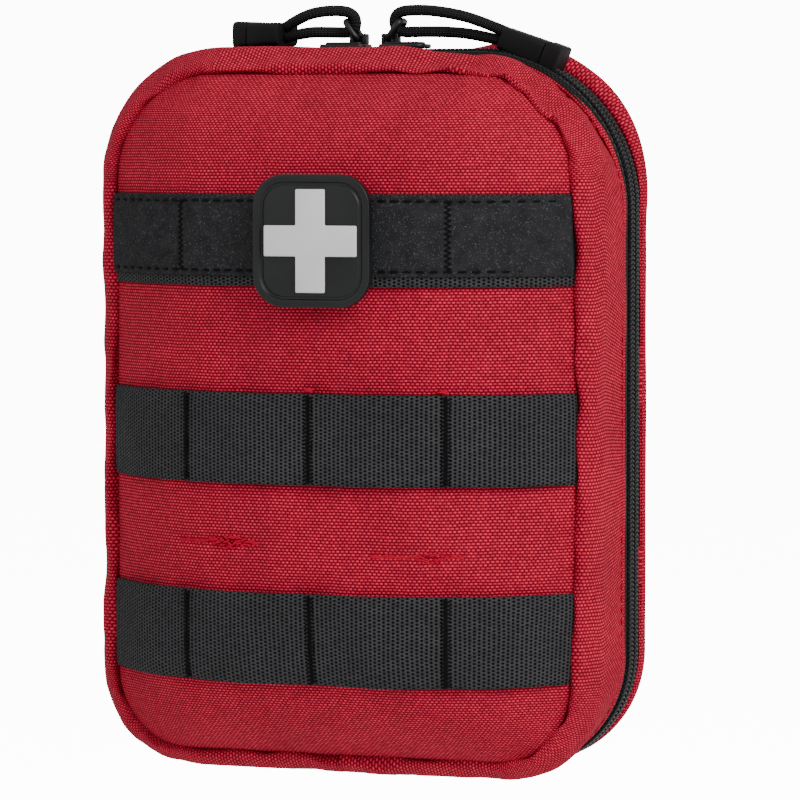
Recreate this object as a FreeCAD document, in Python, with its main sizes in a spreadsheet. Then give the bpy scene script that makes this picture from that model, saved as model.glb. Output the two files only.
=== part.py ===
import FreeCAD, Part
import math
import os
import Sketcher

# Soft clamshell first aid pouch with rows of webbing, a zipper all round and its contents.
# Millimetres; X to the right, Y to the back, Z up. The origin is on the ground at the middle of
# the base, on the fold where the front shell hinges; the zipper lies in the plane Y = 0.

doc = FreeCAD.newDocument("first_aid_pouch")
sheet = doc.addObject("Spreadsheet::Sheet", "params")

DIMENSIONS = {
    # the pouch's overall size: its widest outline, along the zipper
    "zip_half_width": 77.8, "zip_high": 205, "zip_top_radius": 45, "zip_bottom_radius": 34,
    "zip_land": 10, "zip_edge": 6, "gusset_wall": 2,
    # front panel: its seam, set in from the zipper's outline, and the crown that bulges from it
    "seam_in": 9.8, "seam_low": 5, "seam_drop": 7, "seam_top_radius": 30,
    "seam_bottom_radius": 22, "seam_front": 30, "crown_depth": 28,
    "crown_power_across": 2.53, "crown_power_up": 6.2, "panel_wall": 2.4, "lining_wall": 0.8,
    # shoulder, where the gusset turns from the seam to the side
    "shoulder_in": 2.8, "shoulder_rise": 1, "shoulder_top_radius": 37,
    "shoulder_bottom_radius": 27, "shoulder_front": 23, "seam_roll": 1.5,
    # back panel, set in from the zipper's outline
    "rear_in": 5.8, "rear_low": 6, "rear_drop": 6, "rear_top_radius": 38,
    "rear_bottom_radius": 28, "rear_turn": 12, "rear_face": 20,
    # zipper
    "tape_wall": 0.6, "coil_inset": 0.4, "coil_gap": 0.5, "coil_width": 3,
    "fold_half_length": 48, "fold_wall": 1.4, "clearance": 0.3,
    # sliders, bails and pulls
    "slider_start": 2, "slider_length": 14, "slider_half_width": 5, "slider_wall": 1.2,
    "slider_post": 0.5, "bridge_start": 2.5, "bridge_length": 4, "bridge_width": 3,
    "bridge_height": 2, "bail_wire": 1.2, "bail_hole": 1.5, "bail_hole_height": 1,
    "bail_width": 6.4, "bail_length": 6.8, "bail_lean": 35, "cord_diameter": 3.2,
    "grip_length": 16, "grip_width": 10, "grip_thickness": 7, "grip_corner": 2.2,
    "cap_length": 5, "cap_step": 0.8,
    "right_grip_out": 38.5, "right_grip_rise": 3.9, "right_grip_dip": 17.5,
    "left_grip_out": 27.7, "left_grip_back": 1, "left_grip_rise": 5.2, "left_grip_yaw": 160,
    # webbing on the front, and the patch
    "webbing_width": 25.4, "webbing_wall": 1.5, "webbing_trim": 3, "loop_backing_wall": 0.8,
    "loop_pile_wall": 1, "loop_margin": 1.6, "row_top": 151.5, "row_middle": 96.6,
    "row_bottom": 41.1, "patch_centre": 3.2, "patch_half_width": 17, "patch_half_height": 18.25,
    "patch_radius": 9, "patch_wall": 2.8, "patch_rim": 2, "patch_groove": 1.2,
    "patch_groove_depth": 0.6, "hook_wall": 0.8, "hook_margin": 1.2, "cross_width": 27,
    "cross_height": 28.4, "cross_arm": 8.5, "cross_relief": 0.8,
    # webbing, straps and snaps on the back
    "rear_webbing_wall": 1.4, "rear_webbing_trim": 6, "strap_centre": 38,
    "strap_width": 25.4, "strap_wall": 1.5, "strap_low": 28, "strap_high": 180,
    "anchor_length": 11, "stud_radius": 3, "stud_height": 2.2, "socket_radius": 5,
    "snap_play": 0.4, "socket_height": 2.2, "snap_cap_radius": 7.5, "snap_cap_height": 2,
    # inside
    "mesh_wall": 0.6, "lid_pocket_high": 108, "binding_height": 6, "binding_wall": 1.4,
    "roll_pitch": 41, "roll_radius": 17, "roll_low": 14, "roll_height": 75, "loop_low": 38,
    "loop_height": 25, "loop_wall": 0.8, "loop_fit": 0.15, "core_radius": 11, "core_wall": 1,
    "pocket_half_width": 62, "pocket_low": 97, "pocket_high": 150, "pocket_depth": 14,
    "pocket_wall": 0.8, "pack_gap": 0.5, "dressing_width": 58, "dressing_height": 76,
    "dressing_depth": 10, "wipes_width": 54, "wipes_height": 66, "wipes_depth": 5.5,
    "plasters_width": 50, "plasters_height": 73, "plasters_depth": 4.5, "pack_corner": 1.5,
}
for row, (alias, number) in enumerate(DIMENSIONS.items(), start=1):
    sheet.set(f"A{row}", alias)
    sheet.set(f"B{row}", str(number))
    sheet.setAlias(f"B{row}", alias)
doc.recompute()

CROWN_STEPS = (0, 0.12, 0.3, 0.5, 0.7, 0.85, 0.95)
nodes = {}


def p(name):
    """The sheet's cell of that name, as it is written in an expression."""
    return "params." + name


def value(expression):
    """The number that an expression stands for."""
    return float(sheet.evalExpression(str(expression)))


def keep(obj, node):
    """Name a finished sub-part."""
    obj.Label = node
    nodes[node] = obj
    return obj


def outline(half, low, high, top_radius, bottom_radius):
    """A rounded rectangle, as expressions."""
    return {"half": half, "low": low, "high": high, "top": top_radius, "bottom": bottom_radius}


def inset(base, by):
    """The same outline, moved in by an amount; the corners keep their centres."""
    return outline(f"({base['half']} - {by})", f"({base['low']} + {by})", f"({base['high']} - {by})",
                   f"({base['top']} - {by})", f"({base['bottom']} - {by})")


def draw_outline(sketch, shape):
    """Fill a sketch with a rounded rectangle that follows the sheet."""
    half, low, high = value(shape["half"]), value(shape["low"]), value(shape["high"])
    top, bottom = value(shape["top"]), value(shape["bottom"])
    right_angle = math.pi / 2
    centres = ((half - bottom, low + bottom, bottom), (half - top, high - top, top),
               (top - half, high - top, top), (bottom - half, low + bottom, bottom))
    arcs = []
    for turn, (across, up, radius) in enumerate(centres, start=-1):
        circle = Part.Circle(FreeCAD.Vector(across, up, 0), FreeCAD.Vector(0, 0, 1), radius)
        arcs.append(Part.ArcOfCircle(circle, turn * right_angle, (turn + 1) * right_angle))
    arc_ids = [sketch.addGeometry(arc, False) for arc in arcs]
    line_ids = []
    for before, after in ((3, 0), (0, 1), (1, 2), (2, 3)):
        line = Part.LineSegment(arcs[before].EndPoint, arcs[after].StartPoint)
        line_ids.append(sketch.addGeometry(line, False))
    for side, line in enumerate(line_ids):
        arc_before, arc_after = arc_ids[side - 1], arc_ids[side]
        sketch.addConstraint(Sketcher.Constraint("Tangent", arc_before, 2, line, 1))
        sketch.addConstraint(Sketcher.Constraint("Tangent", line, 2, arc_after, 1))
        direction = "Horizontal" if side % 2 == 0 else "Vertical"
        sketch.addConstraint(Sketcher.Constraint(direction, line))
    sketch.addConstraint(Sketcher.Constraint("Equal", arc_ids[0], arc_ids[3]))
    sketch.addConstraint(Sketcher.Constraint("Equal", arc_ids[1], arc_ids[2]))
    sizes = (
        (Sketcher.Constraint("DistanceX", -1, 1, line_ids[1], 1, half), shape["half"]),
        (Sketcher.Constraint("DistanceX", line_ids[3], 1, line_ids[1], 1, 2 * half),
         f"2 * {shape['half']}"),
        (Sketcher.Constraint("DistanceY", -1, 1, line_ids[2], 1, high), shape["high"]),
        (Sketcher.Constraint("DistanceY", line_ids[0], 1, line_ids[2], 1, high - low),
         f"{shape['high']} - {shape['low']}"),
        (Sketcher.Constraint("Radius", arc_ids[0], bottom), shape["bottom"]),
        (Sketcher.Constraint("Radius", arc_ids[1], top), shape["top"]),
    )
    for constraint, expression in sizes:
        index = sketch.addConstraint(constraint)
        sketch.setExpression(f"Constraints[{index}]", expression)


def section(shape, front):
    """An upright rounded rectangle, a distance in front of the zipper's plane."""
    sketch = doc.addObject("Sketcher::SketchObject", "section")
    upright = FreeCAD.Rotation(FreeCAD.Vector(1, 0, 0), 90)
    sketch.Placement = FreeCAD.Placement(FreeCAD.Vector(0, 0, 0), upright)
    sketch.setExpression("Placement.Base.y", f"-({front})")
    draw_outline(sketch, shape)
    return sketch


def loft(sections, shift=None):
    """A closed solid through sections, moved forward by an amount if one is given."""
    body = doc.addObject("Part::Loft", "loft")
    body.Sections = sections
    body.Solid = True
    body.Ruled = True
    if shift:
        body.setExpression("Placement.Base.y", f"-({shift})")
    return body


def cut(base, tool):
    result = doc.addObject("Part::Cut", "cut")
    result.Base = base
    result.Tool = tool
    return result


def common(base, tool):
    result = doc.addObject("Part::Common", "common")
    result.Base = base
    result.Tool = tool
    return result


def fuse(*shapes):
    result = doc.addObject("Part::MultiFuse", "fuse")
    result.Shapes = list(shapes)
    return result


def shell(outer, inner):
    """A ring or skin between two lofts, each a list of (outline, distance in front)."""
    return cut(loft([section(*item) for item in outer]), loft([section(*item) for item in inner]))


def block(start, size):
    """A box from its low corner and its three sizes, all expressions."""
    box = doc.addObject("Part::Box", "block")
    for axis, corner, prop, length in zip("xyz", start, ("Length", "Width", "Height"), size):
        box.setExpression(f"Placement.Base.{axis}", str(corner))
        box.setExpression(prop, str(length))
    return box


def disc(radius, height, start, along="z"):
    """A cylinder from the centre of its low end, along Z or along Y."""
    cylinder = doc.addObject("Part::Cylinder", "disc")
    cylinder.setExpression("Radius", str(radius))
    cylinder.setExpression("Height", str(height))
    if along == "y":
        cylinder.Placement = FreeCAD.Placement(
            FreeCAD.Vector(0, 0, 0), FreeCAD.Rotation(FreeCAD.Vector(1, 0, 0), -90))
    for axis, corner in zip("xyz", start):
        cylinder.setExpression(f"Placement.Base.{axis}", str(corner))
    return cylinder


def body_sketch(body, plane, offset=None):
    """A sketch on one of a body's own origin planes."""
    sketch = body.newObject("Sketcher::SketchObject", "profile")
    face = [item for item in body.Origin.OriginFeatures if item.Role == plane][0]
    sketch.AttachmentSupport = [(face, "")]
    sketch.MapMode = "FlatFace"
    if offset:
        sketch.setExpression("AttachmentOffset.Base.z", str(offset))
    return sketch


def padded(shape, plane, length, offset=None):
    """A body with one outline padded by a length."""
    body = doc.addObject("PartDesign::Body", "body")
    sketch = body_sketch(body, plane, offset)
    draw_outline(sketch, shape)
    pad = body.newObject("PartDesign::Pad", "pad")
    pad.Profile = sketch
    pad.setExpression("Length", str(length))
    return body


def upright_plate(shape, rear, thickness, centre="0"):
    """A plate across the pouch: its rear face is a distance in front of the zipper's plane."""
    body = padded(shape, "XZ_Plane", thickness, rear)
    body.setExpression("Placement.Base.x", str(centre))
    return body


# ------------------------------------------------------------------------------- outlines
seam_half = f"({p('zip_half_width')} - {p('seam_in')})"
seam_high = f"({p('zip_high')} - {p('seam_drop')})"
seam = outline(seam_half, p("seam_low"), seam_high, p("seam_top_radius"),
               p("seam_bottom_radius"))
seam_edge = inset(seam, "(-" + p("seam_roll") + ")")
shoulder = outline(f"({p('zip_half_width')} - {p('shoulder_in')})", "0",
                   f"({p('zip_high')} + {p('shoulder_rise')})", p("shoulder_top_radius"),
                   p("shoulder_bottom_radius"))
zip_line = outline(p("zip_half_width"), "0", p("zip_high"), p("zip_top_radius"),
                   p("zip_bottom_radius"))
rear_half = f"({p('zip_half_width')} - {p('rear_in')})"
rear = outline(rear_half, p("rear_low"), f"({p('zip_high')} - {p('rear_drop')})",
               p("rear_top_radius"), p("rear_bottom_radius"))
rear_edge = inset(rear, "(-" + p("seam_roll") + ")")
wall = p("gusset_wall")
rear_inside = f"({p('rear_face')} - {p('panel_wall')})"
seam_inside = f"({p('seam_front')} - {p('panel_wall')})"


def crown_sections(base, front):
    """The crown's outlines, from the seam's plane to its flat top."""
    middle = f"(({base['high']} + {base['low']}) / 2)"
    tall = f"(({base['high']} - {base['low']}) / 2)"
    sections = []
    for step in CROWN_STEPS:
        across = f"pow({1 - step}; 1 / {p('crown_power_across')})"
        up = f"pow({1 - step}; 1 / {p('crown_power_up')})"
        shape = outline(f"({base['half']} * {across})", f"({middle} - {tall} * {up})",
                        f"({middle} + {tall} * {up})", f"({base['top']} * {across})",
                        f"({base['bottom']} * {across})")
        sections.append(section(shape, f"{front} + {p('crown_depth')} * {step}"))
    return sections


# --------------------------------------------------------------------- front shell: fabric
outer_crown = crown_sections(seam, p("seam_front"))
panel_inner = crown_sections(inset(seam, p("panel_wall")), seam_inside)
lining_wall = f"({p('panel_wall')} + {p('lining_wall')})"
lining_inner = crown_sections(inset(seam, lining_wall),
                              f"({seam_inside} - {p('lining_wall')})")
rim = loft([section(seam, seam_inside), outer_crown[0]])
keep(cut(fuse(rim, loft(outer_crown)), loft(panel_inner)), "front_panel")

lining_cavity = fuse(loft(lining_inner),
                     block((f"-{seam_half}", f"-{seam_inside}", "0"),
                           (f"2 * {seam_half}", p("panel_wall"), seam_high)))
keep(cut(loft(panel_inner), lining_cavity), "front_lining")

keep(shell([(zip_line, p("zip_edge")), (zip_line, p("zip_land")), (shoulder, p("shoulder_front")),
            (seam_edge, p("seam_front"))],
           [(inset(zip_line, wall), p("zip_edge")), (inset(zip_line, wall), p("zip_land")),
            (inset(shoulder, wall), p("shoulder_front")), (seam, seam_inside),
            (seam, p("seam_front"))]), "front_gusset")

# a mesh pocket sewn flat across the lower part of the front shell, with a bound top edge
pocket_sheet = upright_plate(seam, f"{seam_inside} - {p('mesh_wall')}", p("mesh_wall"))
pocket_keep = block((f"-{seam_half}", f"-{p('seam_front')}", "0"),
                    (f"2 * {seam_half}", p("seam_front"), p("lid_pocket_high")))
keep(common(pocket_sheet, pocket_keep), "lid_pocket_mesh")
keep(block((f"-({seam_half} - {p('panel_wall')})",
            f"-{seam_inside}", p("lid_pocket_high")),
           (f"2 * ({seam_half} - {p('panel_wall')})", p("binding_wall"),
            p("binding_height"))), "lid_pocket_binding")

# ---------------------------------------------------------------------- back shell: fabric
keep(shell([(zip_line, f"-{p('zip_edge')}"), (zip_line, f"-{p('rear_turn')}"),
            (rear_edge, f"-{p('rear_face')}")],
           [(inset(zip_line, wall), f"-{p('zip_edge')}"),
            (inset(zip_line, wall), f"-{p('rear_turn')}"), (rear, f"-{rear_inside}"),
            (rear, f"-{p('rear_face')}")]), "back_gusset")
keep(upright_plate(rear, f"-{p('rear_face')}", p("panel_wall")), "back_panel")
keep(upright_plate(rear, f"-{rear_inside}", p("lining_wall")), "back_lining")
lining_face = f"({rear_inside} - {p('lining_wall')})"

# the gusset's uncut part, under the base, which is the front shell's hinge
fold_half = f"({p('fold_half_length')} - {p('clearance')})"
keep(block((f"-{fold_half}", f"-({p('zip_edge')} - {p('clearance')})", "0"),
           (f"2 * {fold_half}", f"2 * {p('zip_edge')} - {p('clearance')}", p("fold_wall"))),
     "hinge_gusset")


# --------------------------------------------------------------------------------- zipper
def zipper_ring(outer_by, thickness, near, far):
    """A ring along the zipper, left out where the base folds."""
    inner_by = f"({outer_by} + {thickness})"
    ring = shell([(inset(zip_line, outer_by), near), (inset(zip_line, outer_by), far)],
                 [(inset(zip_line, inner_by), near), (inset(zip_line, inner_by), far)])
    fold = block((f"-{p('fold_half_length')}", f"-{p('zip_land')}", "0"),
                 (f"2 * {p('fold_half_length')}", f"2 * {p('zip_land')}",
                  p("zip_bottom_radius")))
    return cut(ring, fold)


coil_wall = f"({wall} - {p('coil_inset')})"
coil_far = f"({p('coil_gap')} + {p('coil_width')})"
for side, sign in (("front", ""), ("back", "-")):
    keep(zipper_ring(wall, p("tape_wall"), f"{sign}{p('coil_gap')}", f"{sign}{p('zip_land')}"),
         f"zipper_tape_{side}")
    keep(zipper_ring(p("coil_inset"), coil_wall, f"{sign}{p('coil_gap')}", f"{sign}{coil_far}"),
         f"zipper_coil_{side}")


# ---------------------------------------------------------------- webbing rows on the front
def crown_band(lower, upper, row, half_height, half_width):
    """A strip that follows the crown across the front, between two heights above it."""
    layer = cut(loft(outer_crown, upper), loft(outer_crown, lower))
    window = block((f"-{half_width}", f"-({p('seam_front')} + 3 * {p('crown_depth')})",
                    f"({row} - {half_height})"),
                   (f"2 * {half_width}", f"3 * {p('crown_depth')}", f"2 * {half_height}"))
    return common(layer, window)


band_half = f"({seam_half} - {p('webbing_trim')})"
half_webbing = f"({p('webbing_width')} / 2)"
for name, row in (("webbing_middle", "row_middle"), ("webbing_bottom", "row_bottom")):
    keep(crown_band("0", p("webbing_wall"), p(row), half_webbing, band_half), name)
keep(crown_band("0", p("loop_backing_wall"), p("row_top"), half_webbing, band_half),
     "loop_backing")
pile_top = f"({p('loop_backing_wall')} + {p('loop_pile_wall')})"
keep(crown_band(p("loop_backing_wall"), pile_top, p("row_top"),
                f"({half_webbing} - {p('loop_margin')})", band_half), "loop_strip")

# ---------------------------------------------------------------------------------- patch
crown_face = f"({p('seam_front')} + {p('crown_depth')} * {CROWN_STEPS[-1]})"
patch_rear = f"({crown_face} + {pile_top} + {p('clearance')})"
patch_face = f"({patch_rear} + {p('hook_wall')} + {p('patch_wall')})"


def patch_outline(by):
    """The patch's outline, moved in by an amount."""
    return inset(outline(p("patch_half_width"), f"({p('row_top')} - {p('patch_half_height')})",
                         f"({p('row_top')} + {p('patch_half_height')})", p("patch_radius"),
                         p("patch_radius")), by)


keep(upright_plate(patch_outline(p("hook_margin")), patch_rear, p("hook_wall"),
                   p("patch_centre")), "patch_hook_backing")
patch = upright_plate(patch_outline("0"), f"({patch_rear} + {p('hook_wall')})", p("patch_wall"),
                      p("patch_centre"))
groove_outer = upright_plate(patch_outline(p("patch_rim")),
                             f"({patch_face} - {p('patch_groove_depth')})",
                             p("patch_groove_depth"), p("patch_centre"))
groove_by = f"({p('patch_rim')} + {p('patch_groove')})"
groove_inner = upright_plate(patch_outline(groove_by),
                             f"({patch_face} - {p('patch_groove_depth')})",
                             p("patch_groove_depth"), p("patch_centre"))
keep(cut(patch, cut(groove_outer, groove_inner)), "patch_base")
cross_bars = []
for width, height in (("cross_width", "cross_arm"), ("cross_arm", "cross_height")):
    cross_bars.append(block((f"{p('patch_centre')} - {p(width)} / 2",
                             f"-({patch_face} + {p('cross_relief')})",
                             f"{p('row_top')} - {p(height)} / 2"),
                            (p(width), p("cross_relief"), p(height))))
keep(fuse(*cross_bars), "patch_cross")

# ------------------------------------------------------------------------- sliders and bails
plate_low = f"({p('zip_high')} + {p('clearance')})"
plate_high = f"({plate_low} + {p('slider_wall')})"
under_high = f"({p('zip_high')} - {wall} - {p('tape_wall')} - {p('clearance')})"
bail_centre = f"({p('bridge_start')} + {p('bridge_length')} / 2)"
bail_axis = f"({plate_high} + {p('bail_hole_height')})"
# each cord's route, from its grip round the bail and back; heights are above the zipper's top
cord_stations = {
    "right": ((38.9, -0.4, 5.3), (31.0, -1.2, 8.4), (22.5, -1.6, 10.4), (14.6, -1.2, 11.3),
              (5.9, -0.4, 10.9), (5.9, 0.4, 4.9), (13.8, 0.9, 5.1), (22.2, 1.5, 5.0),
              (30.5, 1.0, 4.1), (38.1, 0.4, 2.5)),
    "left": ((-27.7, 1.0, 6.7), (-21.3, -3.0, 9.8), (-14.0, -2.2, 11.4), (-5.9, -0.4, 10.9),
             (-5.9, 0.4, 4.9), (-13.2, -0.4, 5.1), (-20.6, -2.2, 5.2), (-27.7, 1.0, 3.7)),
}


def mirrored(out, length, side):
    """The low X of a block that starts a distance out from the middle on one side."""
    return out if side == "right" else f"-({out} + {length})"


def slider(side):
    """Top and bottom plates, the post between the coils and the bridge that holds the bail."""
    across = (f"-{p('slider_half_width')}", f"2 * {p('slider_half_width')}")
    start = mirrored(p("slider_start"), p("slider_length"), side)
    top = block((start, across[0], plate_low), (p("slider_length"), across[1], p("slider_wall")))
    under = block((start, across[0], f"{under_high} - {p('slider_wall')}"),
                  (p("slider_length"), across[1], p("slider_wall")))
    post = block((start, f"-{p('slider_post')} / 2", under_high),
                 (p("slider_length"), p("slider_post"), f"{plate_low} - {under_high}"))
    bridge = block((mirrored(p("bridge_start"), p("bridge_length"), side),
                    f"-{p('bridge_width')} / 2", plate_high),
                   (p("bridge_length"), p("bridge_width"), p("bridge_height")))
    sign = "" if side == "right" else "-"
    hole = disc(f"{p('bail_hole')} / 2", f"2 * {p('bridge_width')}",
                (f"{sign}{bail_centre}", f"-{p('bridge_width')}", bail_axis), "y")
    return keep(cut(fuse(top, under, post, bridge), hole), f"slider_{side}")


def bail(side):
    """A wire ring through the bridge that leans towards its grip."""
    body = doc.addObject("PartDesign::Body", "body")
    wire_radius = f"{p('bail_wire')} / 2"
    half = f"({p('bail_width')} / 2)"
    corner = p("bail_wire")
    ring = outline(half, "0", p("bail_length"), corner, corner)
    spine = body_sketch(body, "YZ_Plane")
    draw_outline(spine, ring)
    profile = body_sketch(body, "XY_Plane", f"{p('bail_length')} / 2")
    radius = value(wire_radius)
    circle = Part.Circle(FreeCAD.Vector(0, value(half), 0), FreeCAD.Vector(0, 0, 1), radius)
    profile.addGeometry(circle, False)
    profile.addConstraint(Sketcher.Constraint("PointOnObject", 0, 3, -2))
    reach = profile.addConstraint(Sketcher.Constraint("DistanceY", -1, 1, 0, 3, value(half)))
    thick = profile.addConstraint(Sketcher.Constraint("Radius", 0, radius))
    profile.setExpression(f"Constraints[{reach}]", half)
    profile.setExpression(f"Constraints[{thick}]", wire_radius)
    pipe = body.newObject("PartDesign::AdditivePipe", "pipe")
    pipe.Profile = profile
    pipe.Spine = spine
    lean = 1 if side == "right" else -1
    body.Placement = FreeCAD.Placement(FreeCAD.Vector(0, 0, 0),
                                       FreeCAD.Rotation(FreeCAD.Vector(0, 1, 0), 1))
    body.setExpression("Placement.Base.x", f"{lean} * {bail_centre}")
    body.setExpression("Placement.Base.z", bail_axis)
    body.setExpression("Placement.Rotation.Angle", f"{lean} * {p('bail_lean')} * 1 deg")
    return keep(body, f"bail_{side}")


# --------------------------------------------------------------------------- cords and grips
def cord_path(stations):
    """Straight runs joined by tangent arcs, each as large as its two runs allow."""
    points = [FreeCAD.Vector(*station) for station in stations]
    edges, radii = [], []
    start = points[0]
    for before, corner, after in zip(points, points[1:], points[2:]):
        back, ahead = (before - corner), (after - corner)
        reach = 0.45 * min(back.Length, ahead.Length)
        back.normalize()
        ahead.normalize()
        turn = math.pi - back.getAngle(ahead)
        radii.append(reach / math.tan(turn / 2))
        enter, leave = corner + back * reach, corner + ahead * reach
        towards = (back + ahead).normalize()
        middle = corner + towards * (radii[-1] / math.cos(turn / 2) - radii[-1])
        edges.append(Part.LineSegment(start, enter).toShape())
        edges.append(Part.Arc(enter, middle, leave).toShape())
        start = leave
    edges.append(Part.LineSegment(start, points[-1]).toShape())
    return Part.Wire(edges), radii


def pull_cord(side):
    """The cord's loop from its grip, round the bail and back."""
    path, radii = cord_path(cord_stations[side])
    radius = value(p("cord_diameter")) / 2
    first = path.OrderedEdges[0]
    circle = Part.Circle(first.valueAt(first.FirstParameter),
                         first.tangentAt(first.FirstParameter), radius)
    tube = path.makePipeShell([Part.Wire(circle.toShape())], True, False)
    expected = math.pi * radius ** 2 * path.Length
    print(f"pull_cord_{side}: {path.Length:.1f} mm long, volume {tube.Volume:.1f} of "
          f"{expected:.1f}, radii", [round(item, 1) for item in radii])
    if abs(tube.Volume - expected) > 0.02 * expected:
        raise RuntimeError(f"pull_cord_{side} is not a clean tube")
    cord = doc.addObject("Part::Feature", "cord")
    cord.Shape = tube
    cord.setExpression("Placement.Base.z", p("zip_high"))
    return keep(cord, f"pull_cord_{side}")


def grip(side):
    """A moulded grip with a stepped cap on its far end, along its own X axis."""
    half_thick = f"({p('grip_thickness')} / 2)"
    section_shape = outline(f"({p('grip_width')} / 2)", f"(-1 * {half_thick})", half_thick,
                            p("grip_corner"), p("grip_corner"))
    body = padded(section_shape, "YZ_Plane", p("grip_length"))
    cap = padded(inset(section_shape, p("cap_step")), "YZ_Plane", p("cap_length"),
                 p("grip_length"))
    if side == "right":
        turn = (FreeCAD.Vector(0, 1, 0), p("right_grip_dip"))
        base = (p("right_grip_out"), "0", f"{p('zip_high')} + {p('right_grip_rise')}")
    else:
        turn = (FreeCAD.Vector(0, 0, 1), p("left_grip_yaw"))
        base = (f"-{p('left_grip_out')}", p("left_grip_back"),
                f"{p('zip_high')} + {p('left_grip_rise')}")
    for piece, node in ((body, f"grip_body_{side}"), (cap, f"grip_cap_{side}")):
        piece.Placement = FreeCAD.Placement(FreeCAD.Vector(0, 0, 0),
                                            FreeCAD.Rotation(turn[0], 1))
        piece.setExpression("Placement.Rotation.Angle", f"{turn[1]} * 1 deg")
        for axis, corner in zip("xyz", base):
            piece.setExpression(f"Placement.Base.{axis}", corner)
        keep(piece, node)


for side in ("left", "right"):
    slider(side)
    bail(side)
    pull_cord(side)
    grip(side)

# ---------------------------------------------------------- webbing, straps and snaps behind
rows = (("top", "row_top"), ("middle", "row_middle"), ("bottom", "row_bottom"))
rear_webbing_half = f"({rear_half} - {p('rear_webbing_trim')})"
for name, row in rows:
    keep(block((f"-{rear_webbing_half}", p("rear_face"), f"{p(row)} - {half_webbing}"),
               (f"2 * {rear_webbing_half}", p("rear_webbing_wall"), p("webbing_width"))),
         f"rear_webbing_{name}")
webbing_face = f"({p('rear_face')} + {p('rear_webbing_wall')})"
strap_face = f"({webbing_face} + {p('clearance')})"
strap_back = f"({strap_face} + {p('strap_wall')})"
for side, sign in (("left", "-"), ("right", "")):
    centre = f"{sign}{p('strap_centre')}"
    low_x = f"({centre} - {p('strap_width')} / 2)"
    strap = block((low_x, strap_face, p("strap_low")),
                  (p("strap_width"), p("strap_wall"), f"{p('strap_high')} - {p('strap_low')}"))
    snap_hole = disc(p("socket_radius"), f"3 * {p('strap_wall')}",
                     (centre, f"{strap_face} - {p('strap_wall')}", p("row_bottom")), "y")
    keep(cut(strap, snap_hole), f"strap_{side}")
    keep(block((low_x, p("rear_face"), f"{p('strap_high')} + {p('clearance')}"),
               (p("strap_width"), f"{strap_back} - {p('rear_face')}", p("anchor_length"))),
         f"strap_anchor_{side}")
    keep(disc(p("stud_radius"), p("stud_height"), (centre, webbing_face, p("row_bottom")), "y"),
         f"snap_stud_{side}")
    ring = disc(p("socket_radius"), p("socket_height"), (centre, strap_face, p("row_bottom")), "y")
    bore = disc(f"({p('stud_radius')} + {p('snap_play')})", f"2 * {p('socket_height')}",
                (centre, f"{strap_face} - {p('socket_height')} / 2", p("row_bottom")), "y")
    keep(cut(ring, bore), f"snap_socket_{side}")
    keep(disc(p("snap_cap_radius"), p("snap_cap_height"),
              (centre, f"{strap_face} + {p('socket_height')}", p("row_bottom")), "y"),
         f"snap_cap_{side}")

# -------------------------------------------------------------- elastic loops and their rolls
loop_outer = f"({p('roll_radius')} + {p('loop_fit')} + {p('loop_wall')})"
roll_y = f"({lining_face} - {loop_outer})"
for name, place in (("left", f"-{p('roll_pitch')}"), ("centre", "0"), ("right", p("roll_pitch"))):
    band = disc(loop_outer, p("loop_height"), (place, roll_y, p("loop_low")))
    inside = disc(f"({loop_outer} - {p('loop_wall')})", f"2 * {p('loop_height')}",
                  (place, roll_y, f"{p('loop_low')} - {p('loop_height')} / 2"))
    keep(cut(band, inside), f"elastic_loop_{name}")
    if name == "right":
        tape = disc(p("roll_radius"), p("loop_height"), (place, roll_y, p("loop_low")))
        tape_hole = disc(p("core_radius"), p("loop_height"), (place, roll_y, p("loop_low")))
        keep(cut(tape, tape_hole), "tape_roll")
        core = disc(p("core_radius"), p("loop_height"), (place, roll_y, p("loop_low")))
        core_hole = disc(f"({p('core_radius')} - {p('core_wall')})", p("loop_height"),
                         (place, roll_y, p("loop_low")))
        keep(cut(core, core_hole), "tape_core")
    else:
        keep(disc(p("roll_radius"), p("roll_height"), (place, roll_y, p("roll_low"))),
             f"bandage_{name}")

# ------------------------------------------------------------ mesh pocket and the flat packs
pocket_front = f"({lining_face} - {p('pocket_depth')})"
pocket_outer = block((f"-{p('pocket_half_width')}", pocket_front, p("pocket_low")),
                     (f"2 * {p('pocket_half_width')}", p("pocket_depth"),
                      f"{p('pocket_high')} - {p('pocket_low')}"))
inner_half = f"({p('pocket_half_width')} - {p('pocket_wall')})"
pocket_floor = f"({p('pocket_low')} + {p('pocket_wall')})"
pocket_inner = block((f"-{inner_half}", f"{pocket_front} + {p('pocket_wall')}", pocket_floor),
                     (f"2 * {inner_half}", p("pocket_depth"), p("pocket_high")))
keep(cut(pocket_outer, pocket_inner), "mesh_pocket")
keep(block((f"-{p('pocket_half_width')}",
            f"{pocket_front} + {p('pocket_wall')} - {p('binding_wall')}", p("pocket_high")),
           (f"2 * {p('pocket_half_width')}", p("binding_wall"), p("binding_height"))),
     "pocket_binding")


def pack(name, start, rear_face, node):
    """A flat sealed pack that stands on the pocket's floor."""
    width, height, depth = (p(f"{name}_{part}") for part in ("width", "height", "depth"))
    low = f"({pocket_floor} + {p('pack_gap')})"
    shape = outline(f"({width} / 2)", low, f"({low} + {height})", p("pack_corner"),
                    p("pack_corner"))
    keep(upright_plate(shape, f"-{rear_face}", depth, start), node)


pack_rear = f"({lining_face} - {p('pack_gap')})"
beside = f"({p('pack_gap')} * 4)"
pack("dressing", f"-({beside} + {p('dressing_width')} / 2)", pack_rear, "wound_dressing")
pack("wipes", f"{beside} + {p('wipes_width')} / 2", pack_rear, "wipes_pack")
pack("plasters", f"{beside} + {p('plasters_width')} / 2",
     f"({pack_rear} - {p('wipes_depth')} - {p('pack_gap')})", "plaster_pack")

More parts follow.
